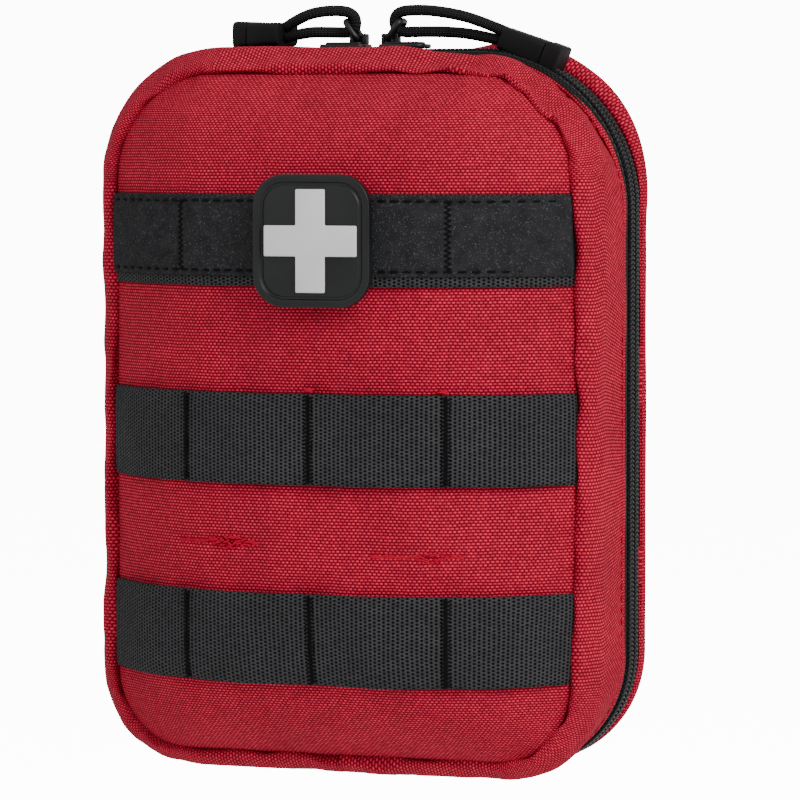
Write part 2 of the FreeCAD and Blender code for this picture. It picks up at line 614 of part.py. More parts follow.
# ------------------------------------------------------------------------ check and write out
doc.recompute()
for item in doc.Objects:
    if {"Invalid", "Error"} & set(item.State):
        raise RuntimeError(f"{item.Name} ({item.Label}) failed: {item.State}")
os.makedirs("parts", exist_ok=True)
for node, item in nodes.items():
    if item.Shape.isNull() or not item.Shape.isValid() or len(item.Shape.Solids) != 1:
        raise RuntimeError(f"{node} is not one valid solid")
    item.Shape.exportStep(f"parts/{node}.step")
print(len(nodes), "sub-parts written")
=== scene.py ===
import math
import bpy
from mathutils import Matrix, Vector, noise


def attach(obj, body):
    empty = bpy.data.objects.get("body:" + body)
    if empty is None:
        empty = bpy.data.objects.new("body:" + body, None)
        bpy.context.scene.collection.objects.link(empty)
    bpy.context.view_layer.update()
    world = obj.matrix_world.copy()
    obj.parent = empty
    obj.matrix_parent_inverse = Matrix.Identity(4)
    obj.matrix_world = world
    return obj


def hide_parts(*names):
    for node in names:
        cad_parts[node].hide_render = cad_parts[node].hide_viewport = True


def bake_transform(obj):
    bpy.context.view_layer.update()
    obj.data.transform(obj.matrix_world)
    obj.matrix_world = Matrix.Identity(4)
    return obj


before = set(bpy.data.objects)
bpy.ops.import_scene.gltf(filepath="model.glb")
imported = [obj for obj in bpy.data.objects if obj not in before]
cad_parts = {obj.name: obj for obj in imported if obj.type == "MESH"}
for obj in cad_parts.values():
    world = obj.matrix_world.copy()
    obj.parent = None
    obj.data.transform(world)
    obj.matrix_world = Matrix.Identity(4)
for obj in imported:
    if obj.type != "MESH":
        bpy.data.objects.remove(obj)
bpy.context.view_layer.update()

# ---------------------------------------------------------------- studio: camera, light, floor
# A plain studio: one long lens from just right of the front, a broad soft light from the upper
# right, a weaker one from the left, and a pale floor.
FLOOR_DROP = 0.225
CAMERA_TARGET = Vector((0.01098, -0.010, 0.10507))
CAMERA_DISTANCE = 1.188
CAMERA_TURN = math.radians(19.165)
CAMERA_RISE = math.radians(3.52)
CAMERA_LENS = 187.3


def linear(hex_code):
    """An sRGB hex colour as linear light."""
    channels = [int(hex_code[i:i + 2], 16) / 255 for i in (0, 2, 4)]
    return [c / 12.92 if c <= 0.04045 else ((c + 0.055) / 1.055) ** 2.4 for c in channels] + [1.0]


def add(tree, kind, inputs=None, **settings):
    """One shader node with its settings and what feeds it; gives its first output."""
    node = tree.nodes.new("ShaderNode" + kind)
    for name, setting in settings.items():
        setattr(node, name, setting)
    for name, source in (inputs or {}).items():
        if isinstance(source, bpy.types.NodeSocket):
            tree.links.new(source, node.inputs[name])
        else:
            node.inputs[name].default_value = source
    return node.outputs[0]


def ramp(tree, source, low, high, to_low, to_high):
    """A value stretched from one range to another, and held at the ends."""
    return add(tree, "MapRange", {0: source, 1: low, 2: high, 3: to_low, 4: to_high})


def new_finish(name, colour, roughness, **sockets):
    """A material with one shader, and what its sockets hold all over."""
    material = bpy.data.materials.new(name)
    material.use_nodes = True
    shader = material.node_tree.nodes["Principled BSDF"]
    for socket, setting in {"Base Color": colour, "Roughness": roughness, **sockets}.items():
        shader.inputs[socket].default_value = setting
    return material, material.node_tree, shader


camera = bpy.data.objects.new("camera", bpy.data.cameras.new("camera"))
bpy.context.collection.objects.link(camera)
towards_lens = Vector((math.sin(CAMERA_TURN) * math.cos(CAMERA_RISE),
                       -math.cos(CAMERA_TURN) * math.cos(CAMERA_RISE), math.sin(CAMERA_RISE)))
camera.location = CAMERA_TARGET + towards_lens * CAMERA_DISTANCE
camera.rotation_euler = (-towards_lens).to_track_quat("-Z", "Y").to_euler()
camera.data.sensor_width = 36
camera.data.lens = CAMERA_LENS
bpy.context.scene.camera = camera


def soft_light(name, place, size, power):
    """A square softbox that faces the pouch."""
    lamp = bpy.data.lights.new(name, "AREA")
    lamp.size = size
    lamp.energy = power
    holder = bpy.data.objects.new(name, lamp)
    bpy.context.collection.objects.link(holder)
    holder.location = place
    towards_pouch = Vector((0, 0, 0.1)) - Vector(place)
    holder.rotation_euler = towards_pouch.to_track_quat("-Z", "Y").to_euler()


soft_light("softbox_right", (1.0, -0.6, 0.9), 0.7, 15)
soft_light("softbox_left", (-0.9, -1.2, 0.9), 1.0, 4)


def over_white(tree, seen, lit):
    """One brightness for what the lens sees of the paper, and another for the light it gives."""
    path = tree.nodes.new("ShaderNodeLightPath").outputs["Is Camera Ray"]
    return ramp(tree, path, 0.0, 1.0, lit, seen)


world = bpy.data.worlds.new("studio")
world.use_nodes = True
backdrop = world.node_tree.nodes["Background"]
backdrop.inputs["Color"].default_value = (1, 1, 1, 1)
world.node_tree.links.new(over_white(world.node_tree, 12.0, 0.72), backdrop.inputs["Strength"])
bpy.context.scene.world = world

bpy.ops.object.select_all(action="DESELECT")
bpy.ops.mesh.primitive_plane_add(size=8, location=(0, 0, -FLOOR_DROP))
bpy.ops.object.transform_apply(location=True)
floor = bpy.context.object
floor.name = "studio_floor"
# Matt white paper, overexposed as it is in a studio: only the soft shadow is left on it.
paper, tree, _ = new_finish("matt_white_paper_floor", linear("F0F0F0"), 0.9)
matt = tree.nodes.new("ShaderNodeBsdfDiffuse")
tree.links.new(over_white(tree, 17.0, 0.95), matt.inputs["Color"])
tree.links.new(matt.outputs[0], tree.nodes["Material Output"].inputs["Surface"])
floor.data.materials.append(paper)

# ------------------------------------------------------------------------- pull cords
# Each slider carries one loop of braided nylon cord, limp and matte black. It leaves the moulded
# grip, rises, turns tightly round the wire bail and comes back into the grip.
CORD_DIAMETER = 0.0032
CORD_STRANDS = 14
BRAID_SLOPE = 0.8
cord_routes = {
    "right": ((0.0404, -0.0004, 0.2094), (0.0310, -0.0012, 0.2134), (0.0225, -0.0016, 0.2154),
              (0.0146, -0.0012, 0.2163), (0.0059, -0.0004, 0.2159), (0.0059, 0.0004, 0.2099),
              (0.0138, 0.0009, 0.2101), (0.0222, 0.0015, 0.2100), (0.0305, 0.0010, 0.2091),
              (0.0396, 0.0004, 0.2069)),
    "left": ((-0.0277, 0.0010, 0.2117), (-0.0213, -0.0030, 0.2148), (-0.0140, -0.0022, 0.2164),
             (-0.0059, -0.0004, 0.2159), (-0.0059, 0.0004, 0.2099), (-0.0132, -0.0004, 0.2101),
             (-0.0206, -0.0022, 0.2102), (-0.0277, 0.0010, 0.2087)),
}


def sewn(name, columns, rows, place, unit=0.001, closed=False):
    """A grid of cloth, each point laid where place(u, v) says. place also gives the spot on the
    flat cloth, which the weave follows; both are in millimetres unless another unit is given."""
    bpy.ops.object.select_all(action="DESELECT")
    bpy.ops.mesh.primitive_grid_add(x_subdivisions=columns, y_subdivisions=rows, size=1)
    piece = bpy.context.object
    piece.name = piece.data.name = name
    spots = []
    for vertex in piece.data.vertices:
        point, spot = place(vertex.co.x + 0.5, vertex.co.y + 0.5)
        vertex.co = Vector(point) * unit
        spots.append((spot[0] * unit, spot[1] * unit))
    layer = piece.data.uv_layers.active
    for loop in piece.data.loops:
        layer.data[loop.index].uv = spots[loop.vertex_index]
    bpy.ops.object.mode_set(mode="EDIT")
    bpy.ops.mesh.select_all(action="SELECT")
    bpy.ops.mesh.remove_doubles(threshold=2e-6)
    if closed:
        bpy.ops.mesh.fill_holes(sides=0)
        bpy.ops.mesh.normals_make_consistent(inside=False)
    bpy.ops.object.mode_set(mode="OBJECT")
    bpy.ops.object.shade_smooth()
    return piece


def finished(piece, material, slot, body, *nodes):
    """The piece's material, the body that it moves with and the CAD nodes that it stands for."""
    piece.data.materials.clear()
    piece.data.materials.append(material)
    if body:
        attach(piece, body)
    if nodes:
        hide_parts(*nodes)
    return piece


FLOAT_REACH = 1.2   # how far a thread's float runs past its crossing


def plain_weave(tree, across, up, wander, upright):
    """Threads over and under on the piece's own map, with spacings in millimetres: how far the
    long floats of one thread are on top, and a chance shade for each crossing."""
    surface = tree.nodes.new("ShaderNodeTexCoord").outputs["UV"]
    drift = add(tree, "TexNoise", {"Vector": surface, "Scale": 120.0, "Detail": 2.0})
    drift = drift.node.outputs[1]
    drift = add(tree, "VectorMath", {0: drift, 1: (0.5, 0.5, 0.5)}, operation="SUBTRACT")
    threads = add(tree, "VectorMath", {0: surface, 1: (1000 / across, 1000 / up, 1)},
                  operation="MULTIPLY")
    threads = add(tree, "VectorMath", {0: drift, 1: (wander * 4, wander * 4, 0), 2: threads},
                  operation="MULTIPLY_ADD")
    parts = add(tree, "SeparateXYZ", {0: threads}).node.outputs
    sines = []
    for part in parts[:2]:
        turn = add(tree, "Math", {0: part, 1: math.pi}, operation="MULTIPLY")
        sines.append(add(tree, "Math", {0: turn}, operation="SINE"))
    if upright:
        sines.reverse()
    row = add(tree, "Math", {0: sines[1]}, operation="SIGN")
    over = add(tree, "Math", {0: sines[0], 1: row, 2: FLOAT_REACH}, operation="MULTIPLY_ADD")
    row = add(tree, "Math", {0: sines[1], 1: sines[1]}, operation="MULTIPLY")
    row = add(tree, "Math", {0: row, 1: 1 / (1 + FLOAT_REACH)}, operation="MULTIPLY")
    over = add(tree, "Math", {0: over, 1: row}, operation="MULTIPLY")
    crossing = add(tree, "VectorMath", {0: threads}, operation="FLOOR")
    shade = add(tree, "TexWhiteNoise", {"Vector": crossing}, noise_dimensions="2D")
    return over, shade


def blend_colours(tree, amount, first, second, way="MIX"):
    """Two colours mixed by an amount."""
    return add(tree, "Mix", {0: amount, 6: first, 7: second}, data_type="RGBA",
               blend_type=way).node.outputs[2]


def raised(tree, shader, height, relief, strength):
    """Bump from a height; relief is in millimetres."""
    bump = add(tree, "Bump", {"Height": height, "Distance": relief / 1000, "Strength": strength})
    tree.links.new(bump, shader.inputs["Normal"])


def woven(name, dark, middle, light, across, up, roughness=0.85, relief=0.12, wander=0.12,
          lift=0.8, painted_gap_shade=0.6, upright=False, edge=(0.3, 0.8)):
    """Cloth of crossing threads, with painted light: a painted highlight along the floats of the
    thread that runs across, and painted shade where the other one covers it and in the gaps; sunk
    floats, as on the webbing, get painted shade instead. Upright cloth has its floats up and down.
    Lift is how much painted colour the floats get, pit how dark the painted shade in the gaps is,
    and edge where a float begins."""
    material, tree, shader = new_finish(name, linear(middle), roughness,
                                        **{"Specular IOR Level": 0.12})
    over, shade = plain_weave(tree, across, up, wander, upright)
    # Painted shade goes in the gaps, then the painted colour on the floats: a highlight on raised
    # floats, shade on sunk ones.
    under = ramp(tree, over, 0.28, 0.02, 0.0, painted_gap_shade)
    colour = blend_colours(tree, under, linear(middle), linear(dark))
    top = ramp(tree, over, edge[0], edge[1], 0.0, lift)
    colour = blend_colours(tree, top, colour, linear(light))
    grey = ramp(tree, shade, 0.0, 1.0, 0.7, 1.12)
    colour = blend_colours(tree, 1.0, colour, grey, "MULTIPLY")
    place = tree.nodes.new("ShaderNodeTexCoord").outputs["Object"]
    wear = add(tree, "TexNoise", {"Vector": place, "Scale": 45.0, "Detail": 4.0})
    wear = ramp(tree, wear, 0.25, 0.75, 0.86, 1.1)
    colour = blend_colours(tree, 1.0, colour, wear, "MULTIPLY")
    tree.links.new(colour, shader.inputs["Base Color"])
    raised(tree, shader, over, relief, 0.9)
    return material


# Braided nylon: strands cross diagonally round the cord, matte with a faint sheen, and with a
# painted highlight on each strand and painted shade between them. The map of the cord counts its
# strands, so the spacing is one strand.
braided_nylon = woven("braided_nylon_cord", "020202", "1A1A1B", "404042", 1000.0, 1000.0,
                      roughness=0.6, relief=0.3, wander=0.0)


def nurbs_path(name, route):
    """The smooth line that a limp cord takes along its route, as points."""
    curve = bpy.data.curves.new(name, "CURVE")
    curve.dimensions = "3D"
    spline = curve.splines.new("NURBS")
    spline.points.add(len(route) - 1)
    for point, station in zip(spline.points, route):
        point.co = (*station, 1)
    spline.order_u = 3
    spline.use_endpoint_u = True
    spline.resolution_u = 12
    holder = bpy.data.objects.new(name, curve)
    points = [vertex.co.copy() for vertex in bpy.data.meshes.new_from_object(holder).vertices]
    bpy.data.objects.remove(holder)
    return [point for index, point in enumerate(points)
            if index == 0 or (point - points[index - 1]).length > 1e-5]


cords = {}
strand = math.pi * CORD_DIAMETER / CORD_STRANDS
for side, route in cord_routes.items():
    path = nurbs_path(f"route_{side}", route)
    frames, travelled, level = [], 0.0, Vector((0, 1, 0))
    for index, point in enumerate(path):
        along = (path[min(index + 1, len(path) - 1)] - path[max(index - 1, 0)]).normalized()
        level = (level - along * level.dot(along)).normalized()
        travelled += (point - path[max(index - 1, 0)]).length
        frames.append((point, level.copy(), along.cross(level), travelled))

    def round_cord(u, v):
        point, level, upright, travelled = frames[round(v * (len(frames) - 1))]
        turn = 2 * math.pi * u
        out = level * math.cos(turn) + upright * math.sin(turn)
        advance = BRAID_SLOPE * travelled / strand
        counted = CORD_STRANDS * u
        return point + out * CORD_DIAMETER / 2, (counted + advance, counted - advance)

    cord = sewn(f"pull_cord_loop_{side}", 24, len(frames) - 1, round_cord, unit=1, closed=True)
    finished(cord, braided_nylon, "braided_cord", f"pull_{side}", f"pull_cord_{side}")
    cords[side] = cord, path

# ------------------------------------------------------------------------- grips, bails, sliders
# The cord's ends are moulded into a short grip of matt black polyamide with a stepped end cap.
# The slider is die-cast zinc under satin black paint, and its bail is bent from steel wire.
def grained(name, colour, worn, roughness, grain, relief, **sockets):
    """A hard or rubbery finish: a fine grain, and lighter where it is worn. Grain is in mm."""
    material, tree, shader = new_finish(name, linear(colour), roughness, **sockets)
    place = tree.nodes.new("ShaderNodeTexCoord").outputs["Object"]
    speckle = add(tree, "TexNoise", {"Vector": place, "Scale": 1000 / grain, "Detail": 3.0})
    cloud = add(tree, "TexNoise", {"Vector": place, "Scale": 90.0, "Detail": 4.0})
    amount = ramp(tree, cloud, 0.42, 0.75, 0.0, 0.55)
    tree.links.new(blend_colours(tree, amount, linear(colour), linear(worn)),
                   shader.inputs["Base Color"])
    rough = ramp(tree, cloud, 0.3, 0.7, roughness - 0.07, roughness + 0.08)
    tree.links.new(rough, shader.inputs["Roughness"])
    raised(tree, shader, speckle, relief, 0.6)
    return material


# Moulded polyamide: a spark-eroded mould leaves a fine matt grain.
moulded_polyamide = grained("moulded_polyamide_grip", "060607", "0F0F10", 0.6, 0.35, 0.05,
                            **{"Specular IOR Level": 0.2})
# Satin paint on die-cast zinc: smooth and faintly orange-peeled, a little glossier than the grips.
painted_zinc = grained("satin_black_painted_zinc", "0A0A0A", "181819", 0.38, 0.8, 0.02,
                       **{"Specular IOR Level": 0.4})


def boxed(name, low, high):
    """A block between two corners in millimetres, left in edit mode with nothing selected."""
    bpy.ops.object.select_all(action="DESELECT")
    bpy.ops.mesh.primitive_cube_add(size=1, location=(Vector(low) + Vector(high)) / 2000,
                                    scale=(Vector(high) - Vector(low)) / 1000)
    bpy.ops.object.transform_apply(location=True, rotation=True, scale=True)
    piece = bpy.context.object
    piece.name = piece.data.name = name
    bpy.ops.object.mode_set(mode="EDIT")
    bpy.ops.mesh.select_all(action="DESELECT")
    return piece


def pick(piece, wanted, kind="FACE"):
    """Select the faces or edges that a test of their middle and direction picks."""
    bpy.ops.mesh.select_all(action="DESELECT")
    bpy.ops.mesh.select_mode(type=kind)
    bpy.ops.object.mode_set(mode="OBJECT")
    mesh = piece.data
    if kind == "FACE":
        for polygon in mesh.polygons:
            polygon.select = wanted(polygon.center * 1000, polygon.normal)
    else:
        for edge in mesh.edges:
            first, second = (mesh.vertices[index].co for index in edge.vertices)
            edge.select = wanted((first + second) * 500, (second - first).normalized())
    bpy.ops.object.mode_set(mode="EDIT")


def softened(piece, width, segments=3, angle=30):
    """Leave edit mode, round the sharp edges and shade smooth between them."""
    bpy.ops.object.mode_set(mode="OBJECT")
    modifier = piece.modifiers.new("soft edges", "BEVEL")
    modifier.width = width / 1000
    modifier.segments = segments
    modifier.limit_method = "ANGLE"
    modifier.angle_limit = math.radians(angle)
    bpy.ops.object.modifier_apply(modifier=modifier.name)
    bpy.ops.object.shade_smooth_by_angle(angle=math.radians(40))
    return piece


def placed(piece, turn, move):
    """Turn a piece and move it to its place, in its mesh; the move is in millimetres."""
    piece.data.transform(Matrix.Translation(Vector(move) / 1000) @ turn.to_4x4())


def chosen(*pieces):
    """Select these pieces and nothing else, with the first one active."""
    bpy.ops.object.select_all(action="DESELECT")
    for piece in pieces:
        piece.select_set(True)
    bpy.context.view_layer.objects.active = pieces[0]


def joined(name, *pieces):
    """Several blocks of one casting in one mesh."""
    chosen(*pieces)
    bpy.ops.object.join()
    pieces[0].name = pieces[0].data.name = name
    return pieces[0]


def grip_piece(name, start, end, low_half, high_half, wide):
    """A length of the grip along X that flares towards its end, with soft edges."""
    piece = boxed(name, (start, -wide / 2, -high_half), (end, wide / 2, high_half))
    pick(piece, lambda middle, way: way.x < -0.9)
    ratio = low_half / high_half
    bpy.ops.transform.resize(value=(1, ratio, ratio), center_override=(start / 1000, 0, 0))
    pick(piece, lambda middle, way: abs(way.x) > 0.9, "EDGE")
    bpy.ops.mesh.bevel(offset=0.0017, segments=4)
    return softened(piece, 0.45, 3, 50)


# How each grip lies: its turn, where the cord goes in, its length and half its height at the cap.
GRIPS = {
    "left": (Matrix.Rotation(math.radians(160), 3, "Z"), (-27.5, 1.0, 209.6), 11.2, 3.6),
    "right": (Matrix.Rotation(math.radians(22), 3, "Y"), (38.9, 0, 207.9), 13.2, 4.1),
}
GRIP_NECK, GRIP_WIDTH, CAP_WIDTH = 3.4, 10.4, 11.0
# The bail's wire: half its loop's length and width, how square the loop is, and how it leans.
BAIL_LENGTH_HALF, BAIL_WIDTH_HALF, BAIL_SQUARE = 3.4, 3.1, 3.4
BAIL_LEAN = math.radians(35)
BAIL_PIVOT = (4.5, 207.75)
for side, way in (("left", -1), ("right", 1)):
    turn, start, length, thick = GRIPS[side]
    body = grip_piece(f"grip_body_{side}_moulding", -0.2, length, GRIP_NECK, thick, GRIP_WIDTH)
    placed(body, turn, start)
    finished(body, moulded_polyamide, "grip_plastic", f"pull_{side}", f"grip_body_{side}")
    cap = grip_piece(f"grip_cap_{side}_moulding", length + 0.15, length + 5.2,
                     thick + 0.25, thick + 0.45, CAP_WIDTH)
    placed(cap, turn, start)
    finished(cap, moulded_polyamide, "grip_plastic", f"pull_{side}", f"grip_cap_{side}")
    cord, path = cords[side]

    # the slider: a top plate with a rounded nose, an under plate, a wedge between them and an arch
    def block(x_low, x_high, y_half, z_low, z_high, soft, corner=0.0):
        low, high = sorted((way * x_low, way * x_high))
        piece = boxed("block", (low, -y_half, z_low), (high, y_half, z_high))
        if corner:
            pick(piece, lambda middle, direction: abs(direction.z) > 0.9, "EDGE")
            bpy.ops.mesh.bevel(offset=corner / 1000, segments=5)
        return softened(piece, soft)

    slider = joined(
        f"slider_{side}_casting",
        block(2, 16, 4.9, 205.35, 206.6, 0.4, 2.6), block(2, 16, 4.9, 201.0, 202.1, 0.4, 2.6),
        block(2.2, 4.2, 0.25, 201.6, 205.9, 0.08), block(3.2, 14.5, 3.2, 206.4, 207.2, 0.35, 1.6),
        block(2.3, 3.4, 1.6, 206.5, 209.3, 0.3), block(5.9, 7.4, 1.6, 206.5, 209.3, 0.3),
        block(2.3, 7.4, 1.6, 208.5, 209.6, 0.35))
    finished(slider, painted_zinc, "black_metal", f"slider_{side}", f"slider_{side}")

    # the bail: a rounded loop of wire that leans over with the cord
    lean = Vector((way * math.sin(BAIL_LEAN), 0, math.cos(BAIL_LEAN)))
    face = Vector((0, 1, 0)).cross(lean)

    def wire(u, v):
        turn_on, turn_round = 2 * math.pi * u, 2 * math.pi * v
        cosine, sine = math.cos(turn_on), math.sin(turn_on)
        round_off = (abs(cosine) ** BAIL_SQUARE + abs(sine) ** BAIL_SQUARE) ** (-1 / BAIL_SQUARE)
        middle = lean * (BAIL_LENGTH_HALF + BAIL_LENGTH_HALF * cosine * round_off) + Vector(
            (0, BAIL_WIDTH_HALF * sine * round_off, 0))
        inwards = (lean * BAIL_LENGTH_HALF - middle).normalized()
        point = middle + inwards * math.cos(turn_round) * 0.72 + face * math.sin(turn_round) * 0.85
        return Vector((way * BAIL_PIVOT[0], 0, BAIL_PIVOT[1])) + point, (turn_on, turn_round)

    bail = sewn(f"bail_{side}_wire", 64, 14, wire, closed=True)
    finished(bail, painted_zinc, "black_metal", f"bail_{side}", f"bail_{side}")

# ------------------------------------------------------------------------- front panel
# The front is one panel of coarse red nylon, sewn all round into the gusset and padded out, so it
# crowns. The seam's thread gathers it into puckers, and each row of webbing holds it back a little.
SEAM = (68.0, 5.0, 198.0, 30.0, 22.0)   # half width, low, high, top corner, bottom corner
SEAM_MIDDLE, SEAM_TALL = (SEAM[1] + SEAM[2]) / 2, (SEAM[2] - SEAM[1]) / 2
SEAM_FRONT = -30.0
CROWN_DEPTH = 28.0
CROWN_ACROSS, CROWN_UP = 2.53, 6.2   # how full the crown is, across and up
WEBBING_WIDTH = 25.4
ROW_TOP, ROW_MIDDLE, ROW_BOTTOM = 151.5, 96.6, 41.1
TACK_PITCH = 38.1
TACKS = (-37.2, 0.8, 39.0)
DARTS = ((-27.6, 67.4), (30.6, 64.6))
# Half the zipper's outline from the middle of the base: run, corner, side, corner, run.
RUNS = (43.8, 53.41, 126.0, 70.69, 32.8)
HALF_ROUND = sum(RUNS)


def smooth(low, high, amount):
    """From 0 to 1 as the amount goes from low to high, with soft ends."""
    amount = min(max((amount - low) / (high - low), 0.0), 1.0)
    return amount * amount * (3 - 2 * amount)


def waves(a, b, seed):
    """A smooth random wave whose bumps are about 1 unit across."""
    return noise.noise(Vector((a, b, seed)))


def rounded(outline, along):
    """The point on a rounded outline, and the way out of it; along is millimetres of the zipper
    from the middle of the base, to the right and up."""
    half, low, high, top, bottom = outline
    along %= 2 * HALF_ROUND
    mirrored = along > HALF_ROUND
    rest = 2 * HALF_ROUND - along if mirrored else along
    for index, run in enumerate(RUNS):
        if rest <= run or index == 4:
            share = min(rest / run, 1.0)
            break
        rest -= run
    turn = share * math.pi / 2
    x, z, out_x, out_z = (
        ((half - bottom) * share, low, 0.0, -1.0),
        (half - bottom + bottom * math.sin(turn), low + bottom - bottom * math.cos(turn),
         math.sin(turn), -math.cos(turn)),
        (half, low + bottom + (high - top - low - bottom) * share, 1.0, 0.0),
        (half - top + top * math.cos(turn), high - top + top * math.sin(turn),
         math.cos(turn), math.sin(turn)),
        ((half - top) * (1 - share), high, 0.0, 1.0),
    )[index]
    return (-x, z, -out_x, out_z) if mirrored else (x, z, out_x, out_z)


def grown(outline, by):
    """The same outline, moved out by an amount."""
    half, low, high, top, bottom = outline
    return half + by, low - by, high + by, top + by, bottom + by


def crown(x, z):
    """How far the front stands out from its seam."""
    low, high = 0.0, 1.0
    for _ in range(14):
        level = (low + high) / 2
        shrink = (1 - level) ** (1 / CROWN_ACROSS)
        half, tall = SEAM[0] * shrink, SEAM_TALL * (1 - level) ** (1 / CROWN_UP)
        corner = (SEAM[3] if z > SEAM_MIDDLE else SEAM[4]) * shrink
        across, up = abs(x) - (half - corner), abs(z - SEAM_MIDDLE) - (tall - corner)
        inside = across <= corner and up <= corner and (
            across <= 0 or up <= 0 or across * across + up * up <= corner * corner)
        if inside:
            low = level
        else:
            high = level
    return CROWN_DEPTH * low - 1.4 * smooth(0.8, 1.0, low)


def travelled_table(steps, start, end, depth):
    """How long the surface is from its middle, step by step."""
    spots = [start + (end - start) * i / steps for i in range(steps + 1)]
    depths = [depth(spot) for spot in spots]
    lengths = [0.0]
    for i in range(steps):
        lengths.append(lengths[-1] + math.hypot(spots[i + 1] - spots[i], depths[i + 1] - depths[i]))

    def travelled(spot):
        position = min(max((spot - start) / (end - start) * steps, 0.0), steps - 1e-6)
        index = int(position)
        part = lengths[index] + (lengths[index + 1] - lengths[index]) * (position - index)
        return part - lengths[-1] / 2
    return travelled


across_front = travelled_table(200, -SEAM[0], SEAM[0], lambda x: crown(x, SEAM_MIDDLE))
up_front = travelled_table(200, SEAM[1], SEAM[2], lambda z: crown(0, z))


def front_relief(x, z, edge_side, edge_ends):
    """What the thread and the filling do to the cloth, outwards in millimetres."""
    lift = 0.7 * waves(x / 24, z / 24, 3.1) + 0.25 * waves(x / 9, z / 9, 8.2)
    gather = math.exp(-edge_side / 9) * waves(z / 6, x / 18, 1.7)
    gather += math.exp(-edge_ends / 12) * (
        1.6 * waves(x / 10, z / 20, 5.3) + 0.5 * waves(x / 4, z / 14, 2.3))
    lift += 1.25 * gather
    for row in (ROW_TOP, ROW_MIDDLE, ROW_BOTTOM):
        lift -= 0.9 * math.exp(-((z - row) / 15) ** 4)
    for row in (ROW_MIDDLE, ROW_BOTTOM):
        for tack in TACKS:
            near = abs(across_front(x) - tack)
            for edge in (row - WEBBING_WIDTH / 2, row + WEBBING_WIDTH / 2):
                lift -= 0.7 * math.exp(-((near / 6) ** 2 + ((z - edge) / 4) ** 2))
                lift += 0.3 * math.exp(-((near - 9) / 5) ** 2 - ((z - edge) / 5) ** 2)
    for middle, height in DARTS:
        hold = smooth(15, 11, abs(x - middle)) * math.exp(-((z - height) / 1.5) ** 2)
        lift -= hold * (0.75 + 0.5 * waves(x / 1.6, 0, 2.2))
        beside = math.exp(-((abs(z - height) - 3.5) / 2.2) ** 2)
        lift += 0.35 * smooth(15, 9, abs(x - middle)) * beside
    return lift * smooth(0, 3, min(edge_side, edge_ends))


def panel_edge(v):
    """Up the right-hand side of the seam, corner to corner: how wide and how high."""
    x, z, _, _ = rounded(SEAM, RUNS[0] + v * (HALF_ROUND - RUNS[0] - RUNS[4]))
    return x, z


def swell(x, z):
    """The right-hand side is stuffed a little fuller below the middle."""
    return 1.9 * smooth(15, 75, z) * smooth(190, 110, z) * smooth(40, 68, x)


def front_cloth(u, v):
    """The padded front, row by row from side to side, with a dip at its seam."""
    half, z = panel_edge(v)
    across = 2 * u - 1
    x = across * half
    edge_side, edge_ends = (1 - abs(across)) * half, min(z - SEAM[1], SEAM[2] - z)
    depth = crown(x, z) + front_relief(x, z, edge_side, edge_ends)
    depth -= 0.8 * math.exp(-min(edge_side, edge_ends))
    return (x + swell(x, z), SEAM_FRONT - depth, z), (across_front(x), up_front(z))


def walled(piece, wall):
    """Give a sheet its thickness, inwards."""
    chosen(piece)
    modifier = piece.modifiers.new("wall", "SOLIDIFY")
    modifier.thickness = wall / 1000
    modifier.offset = -1
    bpy.ops.object.modifier_apply(modifier=modifier.name)
    return piece


# Red nylon, coarse plain weave: a warp thread every 0.62 mm and a weft thread every 0.86 mm, matt,
# with a painted highlight on the weft where it comes over the warp and painted shade in the gaps.
red_nylon = woven("coarse_red_nylon_weave", "680014", "B00428", "E23E58", 0.62, 0.86, relief=0.2,
                  painted_gap_shade=0.9, lift=0.8, wander=0.16, edge=(0.14, 0.6))
front_panel = walled(sewn("front_panel_cloth", 170, 230, front_cloth), 0.9)
finished(front_panel, red_nylon, "red_nylon", "front_shell", "front_panel")

# ------------------------------------------------------------------------- front gusset
# A strip of the same nylon runs round the pouch from the zipper to the front panel. Its edge is
# turned with the panel's and makes a soft roll, and a topstitch holds it down beside the zipper.
ZIPPER = (77.8, 0.0, 205.0, 45.0, 34.0)
SHOULDER = (75.0, 0.0, 206.0, 37.0, 27.0)


def between(first, second, share):
    """An outline part of the way from one to another."""
    return tuple(a + (b - a) * share for a, b in zip(first, second))


def along_profile(stations, share):
    """A smooth line through stations of outline and depth; gives both, and how far along."""
    position = min(share * (len(stations) - 1), len(stations) - 1 - 1e-9)
    index, part = int(position), position - int(position)
    four = [stations[min(max(index + k, 0), len(stations) - 1)] for k in (-1, 0, 1, 2)]
    return tuple(0.5 * (2 * b + (c - a) * part + (2 * a - 5 * b + 4 * c - d) * part ** 2
                        + (3 * b - a - 3 * c + d) * part ** 3) for a, b, c, d in zip(*four))


def ring_strip(stations, relief):
    """Cloth that runs right round the pouch through the stations (outline, depth, run)."""
    flat = [(*outline, y, run) for outline, y, run in stations]

    def place(u, v):
        *outline, y, run = along_profile(flat, v)
        along = u * 2 * HALF_ROUND
        x, z, out_x, out_z = rounded(outline, along)
        lift = relief(along, v) + swell(x, z) * smooth(-18, -29, y)
        return (x + out_x * lift, y, max(z + out_z * lift, 0.05)), (run, along)
    return place


def corner_slack(along):
    """Where the top right corner of the gusset sinks, slack, from 0 to 1."""
    return smooth(HALF_ROUND - 10, HALF_ROUND - 34, along) * smooth(226, 262, along)


